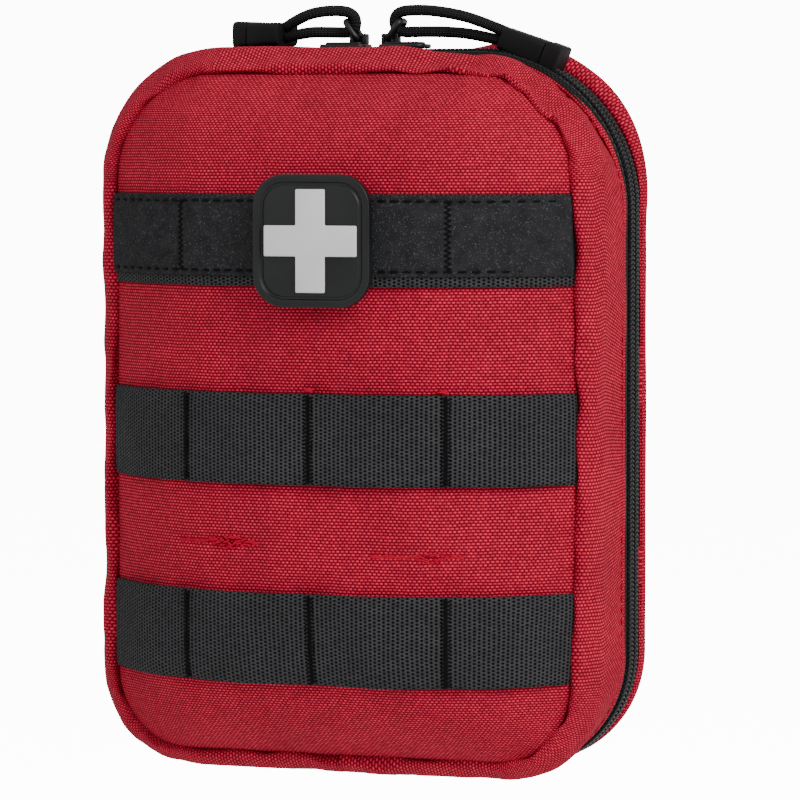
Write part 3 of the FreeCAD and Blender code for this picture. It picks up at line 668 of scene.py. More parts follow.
def gusset_relief(along, v):
    """Puckers at the turned seam that fade towards the zipper, and a slack middle."""
    v = min(v * 1.1, 1.0)   # the last tenth is turned in, and goes on as the seam's edge does
    near_seam = smooth(0.35, 0.8, v)
    lift = 1.7 * near_seam * waves(along / 11, v * 3, 4.4)
    lift += 0.3 * near_seam * waves(along / 3.5, v * 3, 1.4) + 0.5 * waves(along / 26, v * 4, 9.1)
    top = math.exp(-((along - HALF_ROUND) / 42) ** 2)
    lift -= 0.7 * top * smooth(0.1, 0.35, v) * smooth(0.85, 0.6, v)
    lift = (lift - 0.35 * smooth(0.2, 0.26, v) * smooth(0.4, 0.3, v)) * smooth(0.02, 0.2, v)
    slack = 1.3 + (1.7 + 0.9 * waves(along / 7, v * 2, 3.3)) * smooth(0.08, 0.3, v)
    return lift - corner_slack(along) * slack * smooth(0.93, 0.6, v)


front_gusset = sewn("front_gusset_cloth", 560, 40, ring_strip((
    (grown(ZIPPER, -1.5), -10.2, 0), (grown(ZIPPER, -1.1), -8.3, 1.6),
    (grown(ZIPPER, -0.5), -8.2, 2.4), (grown(ZIPPER, -0.2), -10.6, 5.2),
    (between(ZIPPER, SHOULDER, 0.6), -16.5, 13), (SHOULDER, -22.5, 19.5),
    (grown(SEAM, 5.0), -27.2, 25), (grown(SEAM, 2.8), -30.6, 29.2),
    (grown(SEAM, 1.2), -31.4, 31.2), (grown(SEAM, -0.1), -30.6, 32.8),
    (grown(SEAM, -0.9), -28.8, 34.8), (grown(SEAM, -3.6), -28.4, 37.6)), gusset_relief))
finished(walled(front_gusset, 0.8), red_nylon, "red_nylon", "front_shell", "front_gusset")

# ------------------------------------------------------------------------- back gusset and panel
# The back half is a shallower strip of the same nylon and a flat back panel, sewn together in a
# turned seam. At the base a fold of nylon without a zipper joins both halves as a hinge.
REAR = (72.0, 6.0, 199.0, 38.0, 28.0)
REAR_FACE = 20.0


def rear_relief(along, v):
    """Small puckers at the back seam, and a bulge at the top right corner."""
    lift = 0.4 * smooth(0.6, 0.2, v) * waves(along / 4.5, v * 3, 6.4)
    lift += 0.3 * waves(along / 26, v * 4, 2.1)
    lift += (3.4 * smooth(HALF_ROUND - 20, HALF_ROUND - 45, along) * smooth(215, 262, along)
             * smooth(0.1, 0.4, v) * smooth(0.95, 0.6, v))
    return (lift - 0.3 * smooth(0.68, 0.75, v) * smooth(0.86, 0.79, v)) * smooth(0.98, 0.85, v)


back_gusset = sewn("back_gusset_cloth", 560, 28, ring_strip((
    (grown(REAR, -0.8), 18.6, 0), (grown(REAR, 0.1), 20.4, 2), (grown(REAR, 1.3), 20.6, 3.3),
    (grown(REAR, 2.3), 19.0, 5.4), (between(REAR, ZIPPER, 0.75), 15.2, 9.6), (ZIPPER, 11.5, 13.6),
    (grown(ZIPPER, -0.1), 10.0, 15.6), (grown(ZIPPER, -0.5), 8.0, 17.6),
    (grown(ZIPPER, -1.1), 8.1, 18.5), (grown(ZIPPER, -1.5), 9.6, 20.0)), rear_relief))
finished(walled(back_gusset, 0.8), red_nylon, "red_nylon", "back_shell", "back_gusset")


def rear_edge(v):
    """Up the right-hand side of the back seam: how wide and how high."""
    x, z, _, _ = rounded(REAR, RUNS[0] + v * (HALF_ROUND - RUNS[0] - RUNS[4]))
    return x, z


def back_cloth(u, v):
    """The flat back panel, which puckers a little near its seam."""
    half, z = rear_edge(v)
    x = (1 - 2 * u) * half
    edge = min(half - abs(x), z - REAR[1], REAR[2] - z)
    lift = 0.35 * waves(x / 22, z / 22, 4.1)
    lift += 0.5 * math.exp(-edge / 7) * waves((x + z) / 4, (x - z) / 7, 6.6)
    lift = lift * smooth(0, 3, edge) - 0.6 * math.exp(-edge)
    return (x, REAR_FACE - 0.3 + 0.6 * lift, z), (-x, z)


back_panel = walled(sewn("back_panel_cloth", 120, 160, back_cloth), 0.9)
finished(back_panel, red_nylon, "red_nylon", "back_shell", "back_panel")


HINGE_WIDTH_HALF, HINGE_DEPTH_HALF = 49.5, 9.4


def fold_cloth(u, v):
    """The hinge fold across the base; its edges lie over both gussets."""
    x, y = (2 * u - 1) * HINGE_WIDTH_HALF, HINGE_DEPTH_HALF - 2 * HINGE_DEPTH_HALF * v
    z = 0.75 + 0.25 * waves(x / 8, y / 5, 1.1) + 0.6 * smooth(5, HINGE_DEPTH_HALF, abs(y))
    return (x, y, z), (x, -y)


hinge_fold = sewn("hinge_fold_cloth", 90, 16, fold_cloth)
finished(walled(hinge_fold, 0.6), red_nylon, "red_nylon", None, "hinge_gusset")
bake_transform(hinge_fold)

# ------------------------------------------------------------------------- zipper
# A nylon coil zipper runs round the top and sides. Each half is a woven tape, sewn under the
# gusset's folded edge, with a spiral of nylon filament stitched along it.
FOLD_HALF = 48.0     # the zipper starts and ends this far from the middle of the base
COIL_PITCH = 1.3
RIDGE_PITCH = 2.4
TAPE_INNER, TAPE_OUTER, TAPE_WIDTH = 0.6, 10.0, 9.4


def flat_section(v, width, wall):
    """Round a flat strip's section: across it, out from its middle, and how far round."""
    if v >= 1:
        v -= 1
    face = v < 0.5
    turn = (v * 2 if face else v * 2 - 1) * math.pi - math.pi / 2
    across = width / 2 * math.sin(turn)
    out = wall / 2 * max(1 - abs(math.sin(turn)) ** 10, 0) ** 0.5
    return (across, out, across) if face else (-across, -out, across + width)


def strip(name, steps, spine, width, wall, closed=True, sides=28):
    """A woven strip with soft edges along a spine: spine(u, across) gives the point in the middle
    of its thickness, the way out, and how far along it is."""
    def place(u, v):
        across, out, mapped = flat_section(v, width, wall)
        point, outwards, along = spine(u, across)
        return Vector(point) + Vector(outwards) * out, (along, mapped)
    return sewn(name, steps, sides, place, closed=closed)


def beads(name, spots, length, thickness):
    """Many short rounded threads in one mesh; a spot is a middle, the way along and the way out."""
    bpy.ops.object.select_all(action="DESELECT")
    bpy.ops.mesh.primitive_uv_sphere_add(segments=6, ring_count=4, radius=1)
    pattern = bpy.context.object
    corners = [vertex.co.copy() for vertex in pattern.data.vertices]
    faces = [tuple(polygon.vertices) for polygon in pattern.data.polygons]
    bpy.ops.object.delete()
    all_corners, all_faces = [], []
    for middle, along, out in spots:
        along, out = Vector(along).normalized(), Vector(out)
        across = out.cross(along).normalized()
        out = along.cross(across)
        start = len(all_corners)
        for corner in corners:
            point = (Vector(middle) + along * (corner.z * length / 2)
                     + across * (corner.x * thickness / 2) + out * (corner.y * thickness / 2))
            all_corners.append(point / 1000)
        all_faces += [tuple(start + index for index in face) for face in faces]
    mesh = bpy.data.meshes.new(name)
    mesh.from_pydata(all_corners, [], all_faces)
    piece = bpy.data.objects.new(name, mesh)
    bpy.context.collection.objects.link(piece)
    chosen(piece)
    bpy.ops.object.mode_set(mode="EDIT")
    bpy.ops.mesh.select_all(action="SELECT")
    bpy.ops.mesh.normals_make_consistent(inside=False)
    bpy.ops.object.mode_set(mode="OBJECT")
    bpy.ops.object.shade_smooth()
    return piece


# Polyester tape in a fine twill, with painted highlights on its floats and painted shade in its
# gaps, and a satin nylon filament a little lighter than the tape.
zipper_tape = woven("black_polyester_zipper_tape", "040404", "141415", "353537", 0.7, 0.9,
                    relief=0.1)
zipper_filament = grained("nylon_coil_filament", "0C0C0D", "29292B", 0.34, 0.6, 0.02)
round_zip = 2 * (HALF_ROUND - FOLD_HALF)
for half, way, body in (("front", -1, "front_shell"), ("back", 1, "back_shell")):
    def tape_spine(u, v):
        along = FOLD_HALF + u * round_zip
        y = TAPE_INNER + TAPE_WIDTH * v if way < 0 else TAPE_OUTER - TAPE_WIDTH * v
        x, z, _, _ = rounded(grown(ZIPPER, -0.9 - 0.8 * smooth(6.5, 9, y)), along)
        return (x, way * y, z), (along, y)

    tape = walled(sewn(f"zipper_tape_{half}_cloth", 420, 8, tape_spine), 0.5)
    finished(tape, zipper_tape, "zipper_tape", body, f"zipper_tape_{half}")

    def coil_core(u, across):
        along = FOLD_HALF + u * round_zip
        x, z, out_x, out_z = rounded(grown(ZIPPER, -0.6), along)
        return (x, way * 2.6 - across, z), (out_x, 0, out_z), along

    core = strip(f"zipper_coil_{half}_core", 420, coil_core, 4.2, 1.0, sides=12)
    finished(core, zipper_tape, "zipper_coil", body, f"zipper_coil_{half}")
    spots = []
    for index in range(int(round_zip / COIL_PITCH)):
        along = FOLD_HALF + (index + 0.25 + 0.25 * way) * COIL_PITCH
        x, z, out_x, out_z = rounded(grown(ZIPPER, -0.12), along)
        tangent = Vector((-out_z, 0, out_x))
        for lean, middle, lift in ((0.42, 1.55, 0.0), (-0.42, 3.4, -0.1)):
            spots.append(((x + out_x * lift, way * middle, z + out_z * lift),
                          tangent * lean + Vector((0, way, 0)), (out_x, 0, out_z)))
    coil = beads(f"zipper_coil_{half}_turns", spots, 2.4, 0.66)
    finished(coil, zipper_filament, "zipper_coil", body)
    rib = []
    for index in range(int(round_zip / RIDGE_PITCH)):
        along = FOLD_HALF + (index + 0.5) * RIDGE_PITCH
        x, z, out_x, out_z = rounded(grown(ZIPPER, -0.9), along)
        rib.append(((x, way * 6.1, z), (-out_z, 0, out_x), (out_x, 0, out_z)))
    edge_line = beads(f"zipper_tape_{half}_ridge", rib, 2.6, 0.5)
    finished(edge_line, zipper_filament, "zipper_tape", body)

# ------------------------------------------------------------------------- webbing on the front
# Two rows of 25 mm nylon webbing cross the front. Their ends are caught in the seam, and dense bar
# tacks every 38 mm divide them into loops that stand out a little between the tacks.
WEBBING_WALL = 1.5
WEBBING_REACH = 68.1


def on_front(x, z):
    """A point on the crowned front and the way out of it."""
    slope_x = (crown(x + 0.6, z) - crown(x - 0.6, z)) / 1.2
    slope_z = (crown(x, z + 0.6) - crown(x, z - 0.6)) / 1.2
    return Vector((x, SEAM_FRONT - crown(x, z), z)), Vector((-slope_x, -1, -slope_z)).normalized()


def row_table(row, reach):
    """How far along the crowned front each spot of one row is."""
    return travelled_table(160, -reach, reach, lambda x: crown(x, row))


def across_at(travelled, along):
    """Where across the front a spot is that lies so far along its row."""
    x = -67.0
    while travelled(x) < along:
        x += 0.1
    return x


def row_spine(row, reach, stand, shift=0.0):
    """Across the front at one height; stand(along, across) is how far the middle of its thickness
    stands off the panel."""
    travelled = row_table(row, reach)

    def spine(u, across):
        x = (2 * u - 1) * reach
        along = travelled(x)
        point, out = on_front(x, row + across + shift)
        point.x += swell(x, row + across)
        end = smooth(reach, reach - 1.3, abs(x))
        return point + out * (stand(along, across) * end - 0.9 * (1 - end)), out, along
    return spine


def loop_stand(along, across):
    """Webbing held down at its tacks and slack between them."""
    slack = math.sin(math.pi * (along - TACKS[1]) / TACK_PITCH) ** 2
    return 0.55 + 1.0 * slack + 0.12 * waves(along / 9, across / 9, 2.7)


def tack_spots(row, along, tall, travelled, stand, pitch=0.55):
    """A bar tack: a dense upright column of short level threads."""
    spots = []
    x = across_at(travelled, along)
    for index in range(int(tall / pitch)):
        z = row - tall / 2 + (index + 0.5) * pitch
        point, out = on_front(x, z)
        tilt = 0.35 if index % 2 else -0.35
        side = Vector((0, 0, 1)).cross(out).normalized()
        spots.append((point + out * stand, side * -1 + Vector((0, 0, tilt)), out))
    return spots


# Nylon webbing: a heavy ribbed weave, grey in the light, with painted black shade in its sunk
# upright pits 1.0 mm apart between its ribs, which are 1.28 mm apart, and painted shade in the
# gaps.
nylon_webbing = woven("ribbed_nylon_webbing", "303032", "464648", "010101", 1.28, 0.5, relief=-0.4,
                      lift=1.0, upright=True, edge=(0.1, 0.5))
# Bonded polyester thread: tight, round and slightly shiny.
black_thread = grained("bonded_black_thread", "010101", "060606", 0.7, 0.3, 0.02,
                       **{"Specular IOR Level": 0.12})
red_thread = grained("bonded_red_thread", "A80026", "B80029", 0.6, 0.3, 0.02,
                     **{"Specular IOR Level": 0.15})
for name, row in (("webbing_middle", ROW_MIDDLE), ("webbing_bottom", ROW_BOTTOM)):
    webbing = strip(f"{name}_strip", 190, row_spine(row, WEBBING_REACH, loop_stand),
                    WEBBING_WIDTH, WEBBING_WALL)
    finished(webbing, nylon_webbing, "black_webbing", "front_shell", name)
    travelled = row_table(row, 68.4)
    spots = []
    for tack in TACKS:
        spots += tack_spots(row, tack, 24.3, travelled, 1.4)
    tacks = beads(f"{name}_bar_tacks", spots, 2.9, 0.66)
    finished(tacks, black_thread, "black_webbing", "front_shell")

# ------------------------------------------------------------------------- loop strip
# The top row is a strip of brushed loop pile on a woven backing. It is sewn flat with straight
# stitches along both edges and zigzag tacks between them, so that a patch can be pressed on it.
BACKING_WALL = 0.8
PILE_WIDTH = 22.2
PILE_WALL = 1.0
PILE_SHIFT = 1.2       # the pile and its stitches sit this much above the backing's middle
EDGE_STITCH = 9.6      # the edge stitches, up and down from the pile's middle
backing_spine = row_spine(ROW_TOP, WEBBING_REACH, lambda along, across: BACKING_WALL / 2)
backing = strip("loop_backing_strip", 170, backing_spine, WEBBING_WIDTH, BACKING_WALL)
finished(backing, nylon_webbing, "black_webbing", "front_shell", "loop_backing")


def pile_stand(along, across):
    """The uneven pile, pressed down along its two rows of stitches."""
    stitched = math.exp(-((abs(across) - EDGE_STITCH) / 0.7) ** 2)
    tuft = 0.08 * waves(along / 1.2, across / 1.2, 5)
    return BACKING_WALL + PILE_WALL / 2 - 0.05 - 0.22 * stitched + tuft


def loop_pile():
    """Brushed nylon loops: a dark mat of tangled fibres with lighter flecks on top."""
    material, tree, shader = new_finish("brushed_nylon_loop_pile", linear("262627"), 0.95, **{
        "Specular IOR Level": 0.08})
    place = tree.nodes.new("ShaderNodeTexCoord").outputs["UV"]
    warp = add(tree, "TexNoise", {"Vector": place, "Scale": 700.0, "Detail": 3.0}).node.outputs[1]
    bent = add(tree, "VectorMath", {0: warp, 1: (0.0016, 0.0016, 0), 2: place},
               operation="MULTIPLY_ADD")
    curls = add(tree, "TexVoronoi", {"Vector": bent, "Scale": 1500.0}, feature="F1")
    curls = ramp(tree, curls, 0.05, 0.55, 1.0, 0.0)
    clumps = add(tree, "TexNoise", {"Vector": bent, "Scale": 330.0, "Detail": 5.0,
                                    "Roughness": 0.7})
    height = add(tree, "Math", {0: curls, 1: clumps}, operation="MULTIPLY")
    light = ramp(tree, height, 0.1, 0.6, 0.0, 0.8)
    mat = add(tree, "TexNoise", {"Vector": place, "Scale": 260.0, "Detail": 3.0})
    mat = blend_colours(tree, mat, linear("121213"), linear("333335"))
    colour = blend_colours(tree, light, mat, linear("58585A"))
    tree.links.new(colour, shader.inputs["Base Color"])
    raised(tree, shader, height, 0.6, 1.0)
    return material


pile = strip("loop_pile_strip", 260, row_spine(ROW_TOP, 68.0, pile_stand, PILE_SHIFT),
             PILE_WIDTH, PILE_WALL, sides=56)
finished(pile, loop_pile(), "loop_pile", "front_shell", "loop_strip")
travelled = row_table(ROW_TOP, 67.4)
stitches = []
for edge in (-EDGE_STITCH, EDGE_STITCH):
    for index in range(38):
        x = -64.5 + index * 3.45
        point, out = on_front(x, ROW_TOP + edge + PILE_SHIFT)
        stitches.append((point + out * 1.72, Vector((0, 0, 1)).cross(out) * -1, out))
edge_stitches = beads("loop_strip_edge_stitches", stitches, 2.7, 0.7)
finished(edge_stitches, black_thread, "loop_pile", "front_shell")
zigzag = []
ZIGZAG_COUNT, ZIGZAG_TALL = 26, 19.2
for tack in (TACKS[0] - 1.5, TACKS[2] + 0.5):
    x = across_at(travelled, tack)
    for index in range(ZIGZAG_COUNT):
        point, out = on_front(x, ROW_TOP - 8.4 + (index + 0.5) * ZIGZAG_TALL / ZIGZAG_COUNT)
        along = Vector((0, 0, 1)).cross(out) * -1 + Vector((0, 0, 0.45 if index % 2 else -0.45))
        zigzag.append((point + out * 1.85, along, out))
zigzag_tacks = beads("loop_strip_zigzag_tacks", zigzag, 2.5, 0.45)
finished(zigzag_tacks, black_thread, "loop_pile", "front_shell")

# ------------------------------------------------------------------------- patch
# A moulded black rubber patch with a raised rim carries a plain light grey cross. It is sewn to a
# square of hook tape and pressed on the loop strip, and comes off straight forwards.
PATCH_CENTRE = (3.2, 151.5)
PATCH_HALF = (17.0, 18.25)
PATCH_CORNER = 9.0
PATCH_BACK, PATCH_FACE, CROSS_FACE = -59.5, -62.3, -63.1

patch = boxed("patch_base_moulding",
              (PATCH_CENTRE[0] - PATCH_HALF[0], PATCH_FACE, PATCH_CENTRE[1] - PATCH_HALF[1]),
              (PATCH_CENTRE[0] + PATCH_HALF[0], PATCH_BACK, PATCH_CENTRE[1] + PATCH_HALF[1]))
pick(patch, lambda middle, way: abs(way.y) > 0.9, "EDGE")
bpy.ops.mesh.bevel(offset=PATCH_CORNER / 1000, segments=12)
pick(patch, lambda middle, way: way.y < -0.9)
bpy.ops.mesh.inset(thickness=0.002)
# inside the rim, a groove: how much further in each step is, and how much deeper
for step, drop in ((0.0003, 0.0006), (0.0006, 0), (0.0003, -0.00045)):
    bpy.ops.mesh.inset(thickness=step)
    bpy.ops.transform.translate(value=(0, drop, 0))
softened(patch, 0.35)
# Moulded soft rubber: near black, satin, with a very fine grain from the mould.
black_rubber = grained("moulded_black_rubber", "101112", "181919", 0.42, 0.5, 0.03,
                      **{"Specular IOR Level": 0.35})
finished(patch, black_rubber, "black_rubber", "patch", "patch_base")
ARM, CROSS = 8.5, (27.0, 28.4)
CROSS_BACK = PATCH_FACE + 0.3
cross = boxed("patch_cross_moulding",
              (PATCH_CENTRE[0] - ARM / 2, CROSS_FACE, PATCH_CENTRE[1] - ARM / 2),
              (PATCH_CENTRE[0] + ARM / 2, CROSS_BACK, PATCH_CENTRE[1] + ARM / 2))
cross_middle = Vector((PATCH_CENTRE[0], (CROSS_FACE + CROSS_BACK) / 2, PATCH_CENTRE[1]))
for way in ((1, 0, 0), (-1, 0, 0), (0, 0, 1), (0, 0, -1)):
    way = Vector(way)
    reach = ((CROSS[0] if way.x else CROSS[1]) - ARM) / 2
    root = cross_middle + way * ARM / 2
    pick(cross, lambda middle, normal: normal.dot(way) > 0.9 and (middle - root).length < 0.5)
    bpy.ops.mesh.extrude_region_move(TRANSFORM_OT_translate={"value": way * reach / 1000})
softened(cross, 0.4)
# The cross is the same rubber in a light grey.
grey_rubber = grained("moulded_grey_rubber", "D0D0D1", "DADADA", 0.5, 0.5, 0.03)
finished(cross, grey_rubber, "grey_rubber", "patch", "patch_cross")
# Hook tape: moulded nylon hooks in close rows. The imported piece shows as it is.
hook_tape = grained("nylon_hook_tape", "101010", "242424", 0.6, 0.9, 0.2)
finished(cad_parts["patch_hook_backing"], hook_tape, "hook_tape", None)

# ------------------------------------------------------------------------- topstitching
# Red thread holds the gussets' folded edges beside the zipper, gathers the front in two short
# darts between the rows, and shows in the seams' needle holes.
STITCH_PITCH = 3.3


def ring_stitches(name, outline, y, body, sink=0.0):
    """Stitches all round the pouch, which sink with the cloth at its slack corner."""
    spots = []
    for index in range(int(2 * HALF_ROUND / STITCH_PITCH)):
        along = (index + 0.5) * STITCH_PITCH
        x, z, out_x, out_z = rounded(outline, along)
        x -= out_x * sink * corner_slack(along)
        z -= out_z * sink * corner_slack(along)
        if z + out_z * 0.1 > 0.6:
            spots.append(((x, y, z), (-out_z, 0, out_x), (out_x, 0, out_z)))
    finished(beads(name, spots, 2.3, 0.5), red_thread, "red_nylon", body)


ring_stitches("front_gusset_topstitch", grown(ZIPPER, -0.4), -11.0, "front_shell", 2.6)
ring_stitches("back_gusset_topstitch", grown(ZIPPER, -0.3), 10.6, "back_shell")
# Each dart is three ragged lines of stitches, which heap up where the thread is fastened off.
darts = []
for middle, height in DARTS:
    for index in range(60):
        x = middle - 12.0 + (index % 20) * 1.25
        point, out = on_front(x, height + 0.5 * waves(x / 3, height, 1))
        heap = math.exp(-((x - middle - 4) / 4.5) ** 2)
        tilt = waves(x * 2.3, index * 0.7, 4.2) * (0.5 + 1.6 * heap)
        rise = (0.15 + heap) * (2.4 * waves(index * 1.7, x, 6.1) + 0.6 * (index // 20) - 0.6)
        middle_point = point + out * (-0.5 + 0.6 * heap) + Vector((0, 0, rise))
        darts.append((middle_point, Vector((1, 0, tilt)), out))
for tack in TACKS[1:]:
    for index in range(9):
        point, out = on_front(tack * 0.97 + 1.6 * waves(index * 1.9, 0, 3),
                              ROW_MIDDLE + 13.6 + 0.9 * waves(0, index * 1.7, 5))
        darts.append((point + out * 0.4, Vector((1, 0, 2 * waves(index * 1.3, 2, 1))), out))
finished(beads("front_dart_stitches", darts, 2.3, 0.7), red_thread, "red_nylon", "front_shell")

# ------------------------------------------------------------------------- webbing on the back
# Three rows of the same webbing cross the back. Two upright straps, sewn on near the top, are woven
# behind the rows of a pack and close at the bottom row with press studs.
REAR_ROWS = {"rear_webbing_top": ROW_TOP, "rear_webbing_middle": ROW_MIDDLE,
             "rear_webbing_bottom": ROW_BOTTOM}
REAR_REACH = 68.5
STRAP_CENTRE = 38.0
STRAP_LOW, STRAP_LENGTH = 28.0, 152.0
ANCHOR_ROWS = (182.6, 189.2)   # the box stitch's lower and upper edge
for name, row in REAR_ROWS.items():
    def rear_spine(u, across):
        x = (1 - 2 * u) * REAR_REACH
        end = smooth(REAR_REACH, 65, abs(x))
        return (x, REAR_FACE + 0.75 * end - 0.6 * (1 - end) - 0.05, row + across), (0, 1, 0), -x

    webbing = strip(f"{name}_strip", 120, rear_spine, WEBBING_WIDTH, 1.3)
    finished(webbing, nylon_webbing, "black_webbing", "back_shell", name)
    spots = []
    for tack in (-57.2, -19.05, 0.0, 19.05, 57.2):
        for index in range(42):
            tilt = 0.35 if index % 2 else -0.35
            spots.append(((tack, REAR_FACE + 1.42, row - 11.5 + index * 0.56),
                          (1, 0, tilt), (0, 1, 0)))
    tacks = beads(f"{name}_bar_tacks", spots, 1.9, 0.45)
    finished(tacks, black_thread, "black_webbing", "back_shell")


def turned(name, profile, centre, axis, steps=56):
    """A round piece: its profile (radius, height) is turned about an axis through its centre."""
    lengths = [0.0]
    for first, second in zip(profile, profile[1:]):
        lengths.append(lengths[-1] + math.hypot(second[0] - first[0], second[1] - first[1]))
    first_way = Vector((1, 0, 0))
    second_way = Vector(axis).cross(first_way)

    def place(u, v):
        index = min(round(v * (len(profile) - 1)), len(profile) - 1)
        radius, height = profile[index]
        turn = 2 * math.pi * u
        point = Vector(centre) + Vector(axis) * height + (
            first_way * math.cos(turn) + second_way * math.sin(turn)) * radius
        return point, (turn * max(radius, 5), lengths[index])
    return sewn(name, steps, len(profile) - 1, place, closed=True)


for side, way in (("left", -1), ("right", 1)):
    def strap_spine(u, across):
        z = STRAP_LOW + STRAP_LENGTH * u
        bow = 0.5 * math.sin(math.pi * (z - STRAP_LOW) / STRAP_LENGTH)
        bow *= math.sin(math.pi * (z - 41) / 55) ** 2
        return (way * STRAP_CENTRE - across, 22.45 + 0.4 * bow, z), (0, 1, 0), z

    strap = strip(f"strap_{side}_webbing", 160, strap_spine, WEBBING_WIDTH, 1.45)
    finished(strap, nylon_webbing, "black_webbing", f"strap_{side}", f"strap_{side}")

    def anchor_spine(u, across):
        z = 180.4 + 10.8 * u
        return (way * STRAP_CENTRE - across, 21.55, z), (0, 1, 0), z

    anchor = strip(f"strap_anchor_{side}_webbing", 12, anchor_spine, WEBBING_WIDTH, 3.0)
    finished(anchor, nylon_webbing, "black_webbing", "back_shell", f"strap_anchor_{side}")
    box_stitch = []
    for index in range(9):
        x = way * STRAP_CENTRE - 10.4 + index * 2.6
        rise = 6.6 * index / 8
        for z, tilt in ((ANCHOR_ROWS[0], 0), (ANCHOR_ROWS[1], 0),
                        (ANCHOR_ROWS[0] + rise, 0.3), (ANCHOR_ROWS[1] - rise, -0.3)):
            box_stitch.append(((x, 23.1, z), (1, 0, tilt), (0, 1, 0)))
    finished(beads(f"strap_anchor_{side}_stitches", box_stitch, 2.1, 0.45), black_thread,
             "black_webbing", "back_shell")
    # a domed press-stud cap with a rolled rim, and its socket ring
    cap = turned(f"snap_cap_{side}_dome", (
        (0, 0.05), (3, 0.05), (6.2, 0.1), (7.1, 0.25), (7.5, 0.7), (7.4, 1.15), (6.9, 1.4),
        (6.2, 1.45), (5.6, 1.5), (4.5, 1.72), (3.2, 1.88), (1.6, 1.97), (0, 2.0)),
        (way * STRAP_CENTRE, 23.9, ROW_BOTTOM), (0, 1, 0))
    finished(cap, painted_zinc, "black_metal", f"strap_{side}", f"snap_cap_{side}")
    for node in (f"snap_socket_{side}", f"snap_stud_{side}"):
        finished(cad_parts[node], painted_zinc, "black_metal", None)

# ------------------------------------------------------------------------- linings, lid pocket
# Both halves are lined with thin coated nylon. The lid has a net pocket, bound along its open top
# edge with folded tape.
# Coated nylon lining: a fine close weave with a dull shine, darker than the shell, with a faint
# painted highlight on its floats and painted shade in its gaps.
lining_nylon = woven("coated_nylon_lining", "3A0409", "5C0A14", "8A2630", 0.6, 0.7,
                     roughness=0.6, relief=0.06, lift=0.4, painted_gap_shade=0.2)


def sagging(x, z, edge, broad, size, fine, seed, fine_seed):
    """How a lining sags: broad waves, and finer ones near its seam."""
    return broad * waves(x / size, z / size, seed) + fine * math.exp(-edge / 9) * waves(
        (x + z) / 5, (x - z) / 8, fine_seed)


def lid_lining(u, v):
    """It follows the padded front from inside."""
    half, z = panel_edge(v)
    half, z = half - 1.2, SEAM_MIDDLE + (z - SEAM_MIDDLE) * 0.988
    x = (1 - 2 * u) * half
    edge = min(half - abs(x), z - SEAM[1], SEAM[2] - z)
    sag = sagging(x, z, edge, 0.5, 20, 0.4, 7.3, 1.2)
    front = crown(x * 1.01, SEAM_MIDDLE + (z - SEAM_MIDDLE) * 1.01)
    depth = max(front - 2.7 - max(sag, -0.2), -2.0)
    return (x, SEAM_FRONT - depth, z), (-x, z)


front_lining = walled(sewn("front_lining_cloth", 90, 120, lid_lining), 0.4)
finished(front_lining, lining_nylon, "lining_nylon", "front_shell", "front_lining")


def back_lining_cloth(u, v):
    """It lies flat inside the back panel."""
    half, z = rear_edge(v)
    x = (2 * u - 1) * (half + 0.5)
    edge = min(half - abs(x), z - REAR[1], REAR[2] - z)
    return (x, 17.0 + sagging(x, z, edge, 0.25, 18, 0.2, 3.3, 5.2), z), (x, z)


back_lining = walled(sewn("back_lining_cloth", 90, 120, back_lining_cloth), 0.4)
finished(back_lining, lining_nylon, "lining_nylon", "back_shell", "back_lining")

NET_CELL = 2.4
LID_COLUMNS, POCKET_COLUMNS = 56, 62


def netted(name, columns, rows, place):
    """Warp-knitted net: a staggered grid of cells, each edge a thin thread."""
    net = sewn(name, columns, rows, place)
    modifier = net.modifiers.new("threads", "WIREFRAME")
    modifier.thickness = 0.00038
    modifier.use_even_offset = False
    bpy.ops.object.modifier_apply(modifier=modifier.name)
    return net


def lid_net(u, v):
    """The lid's pocket, rounded at its lower corners like the seam."""
    z = 5.5 + 102.3 * v
    half = 67.0
    if z < SEAM[1] + SEAM[4]:
        rise = (SEAM[1] + SEAM[4] - z) / SEAM[4]
        half = 67.0 - SEAM[4] * (1 - math.sqrt(max(1 - rise * rise, 0)))
    column = round(u * LID_COLUMNS)
    stagger = (NET_CELL / 2 if column % 2 else 0) * smooth(0, 0.04, v) * smooth(1, 0.96, v)
    x = (1 - 2 * u) * half
    return (x, -27.3 + 0.4 * waves(x / 20, z / 20, 6.1), z + stagger * 0.8), (x, z)


# Knitted polyester net and the folded tape that binds it; the tape has painted highlights on its
# floats and painted shade in its gaps.
polyester_net = grained("knitted_polyester_net", "0C0C0C", "1C1C1C", 0.7, 0.4, 0.05)
binding_tape = woven("black_binding_tape", "040404", "141415", "303032", 0.55, 0.9,
                     relief=0.1)
lid_pocket = netted("lid_pocket_net", LID_COLUMNS, 43, lid_net)
finished(lid_pocket, polyester_net, "black_mesh", "front_shell", "lid_pocket_mesh")


def lid_binding(u, across):
    x = (1 - 2 * u) * 65.4
    return (x, -26.9, 111.0 + across), (0, 1, 0), -x


binding = strip("lid_pocket_binding_tape", 60, lid_binding, 6.0, 1.3, sides=16)
finished(binding, binding_tape, "black_mesh", "front_shell", "lid_pocket_binding")

# ------------------------------------------------------------------------- bandages and tape
# Two rolled crepe bandages and a roll of plaster tape on a card core stand in loops of ribbed
# elastic, which are sewn to the back lining.
LOOP_CENTRE_Y = -1.15
LOOP_RADIUS = 17.5
ROLL_RADIUS = 16.9
# Ribbed elastic: close cords of rubber wrapped in polyester, with painted highlights on its cords
# and painted shade between them.
ribbed_elastic = woven("ribbed_polyester_elastic", "040404", "161616", "303032", 2.2, 0.6,
                       relief=0.25)
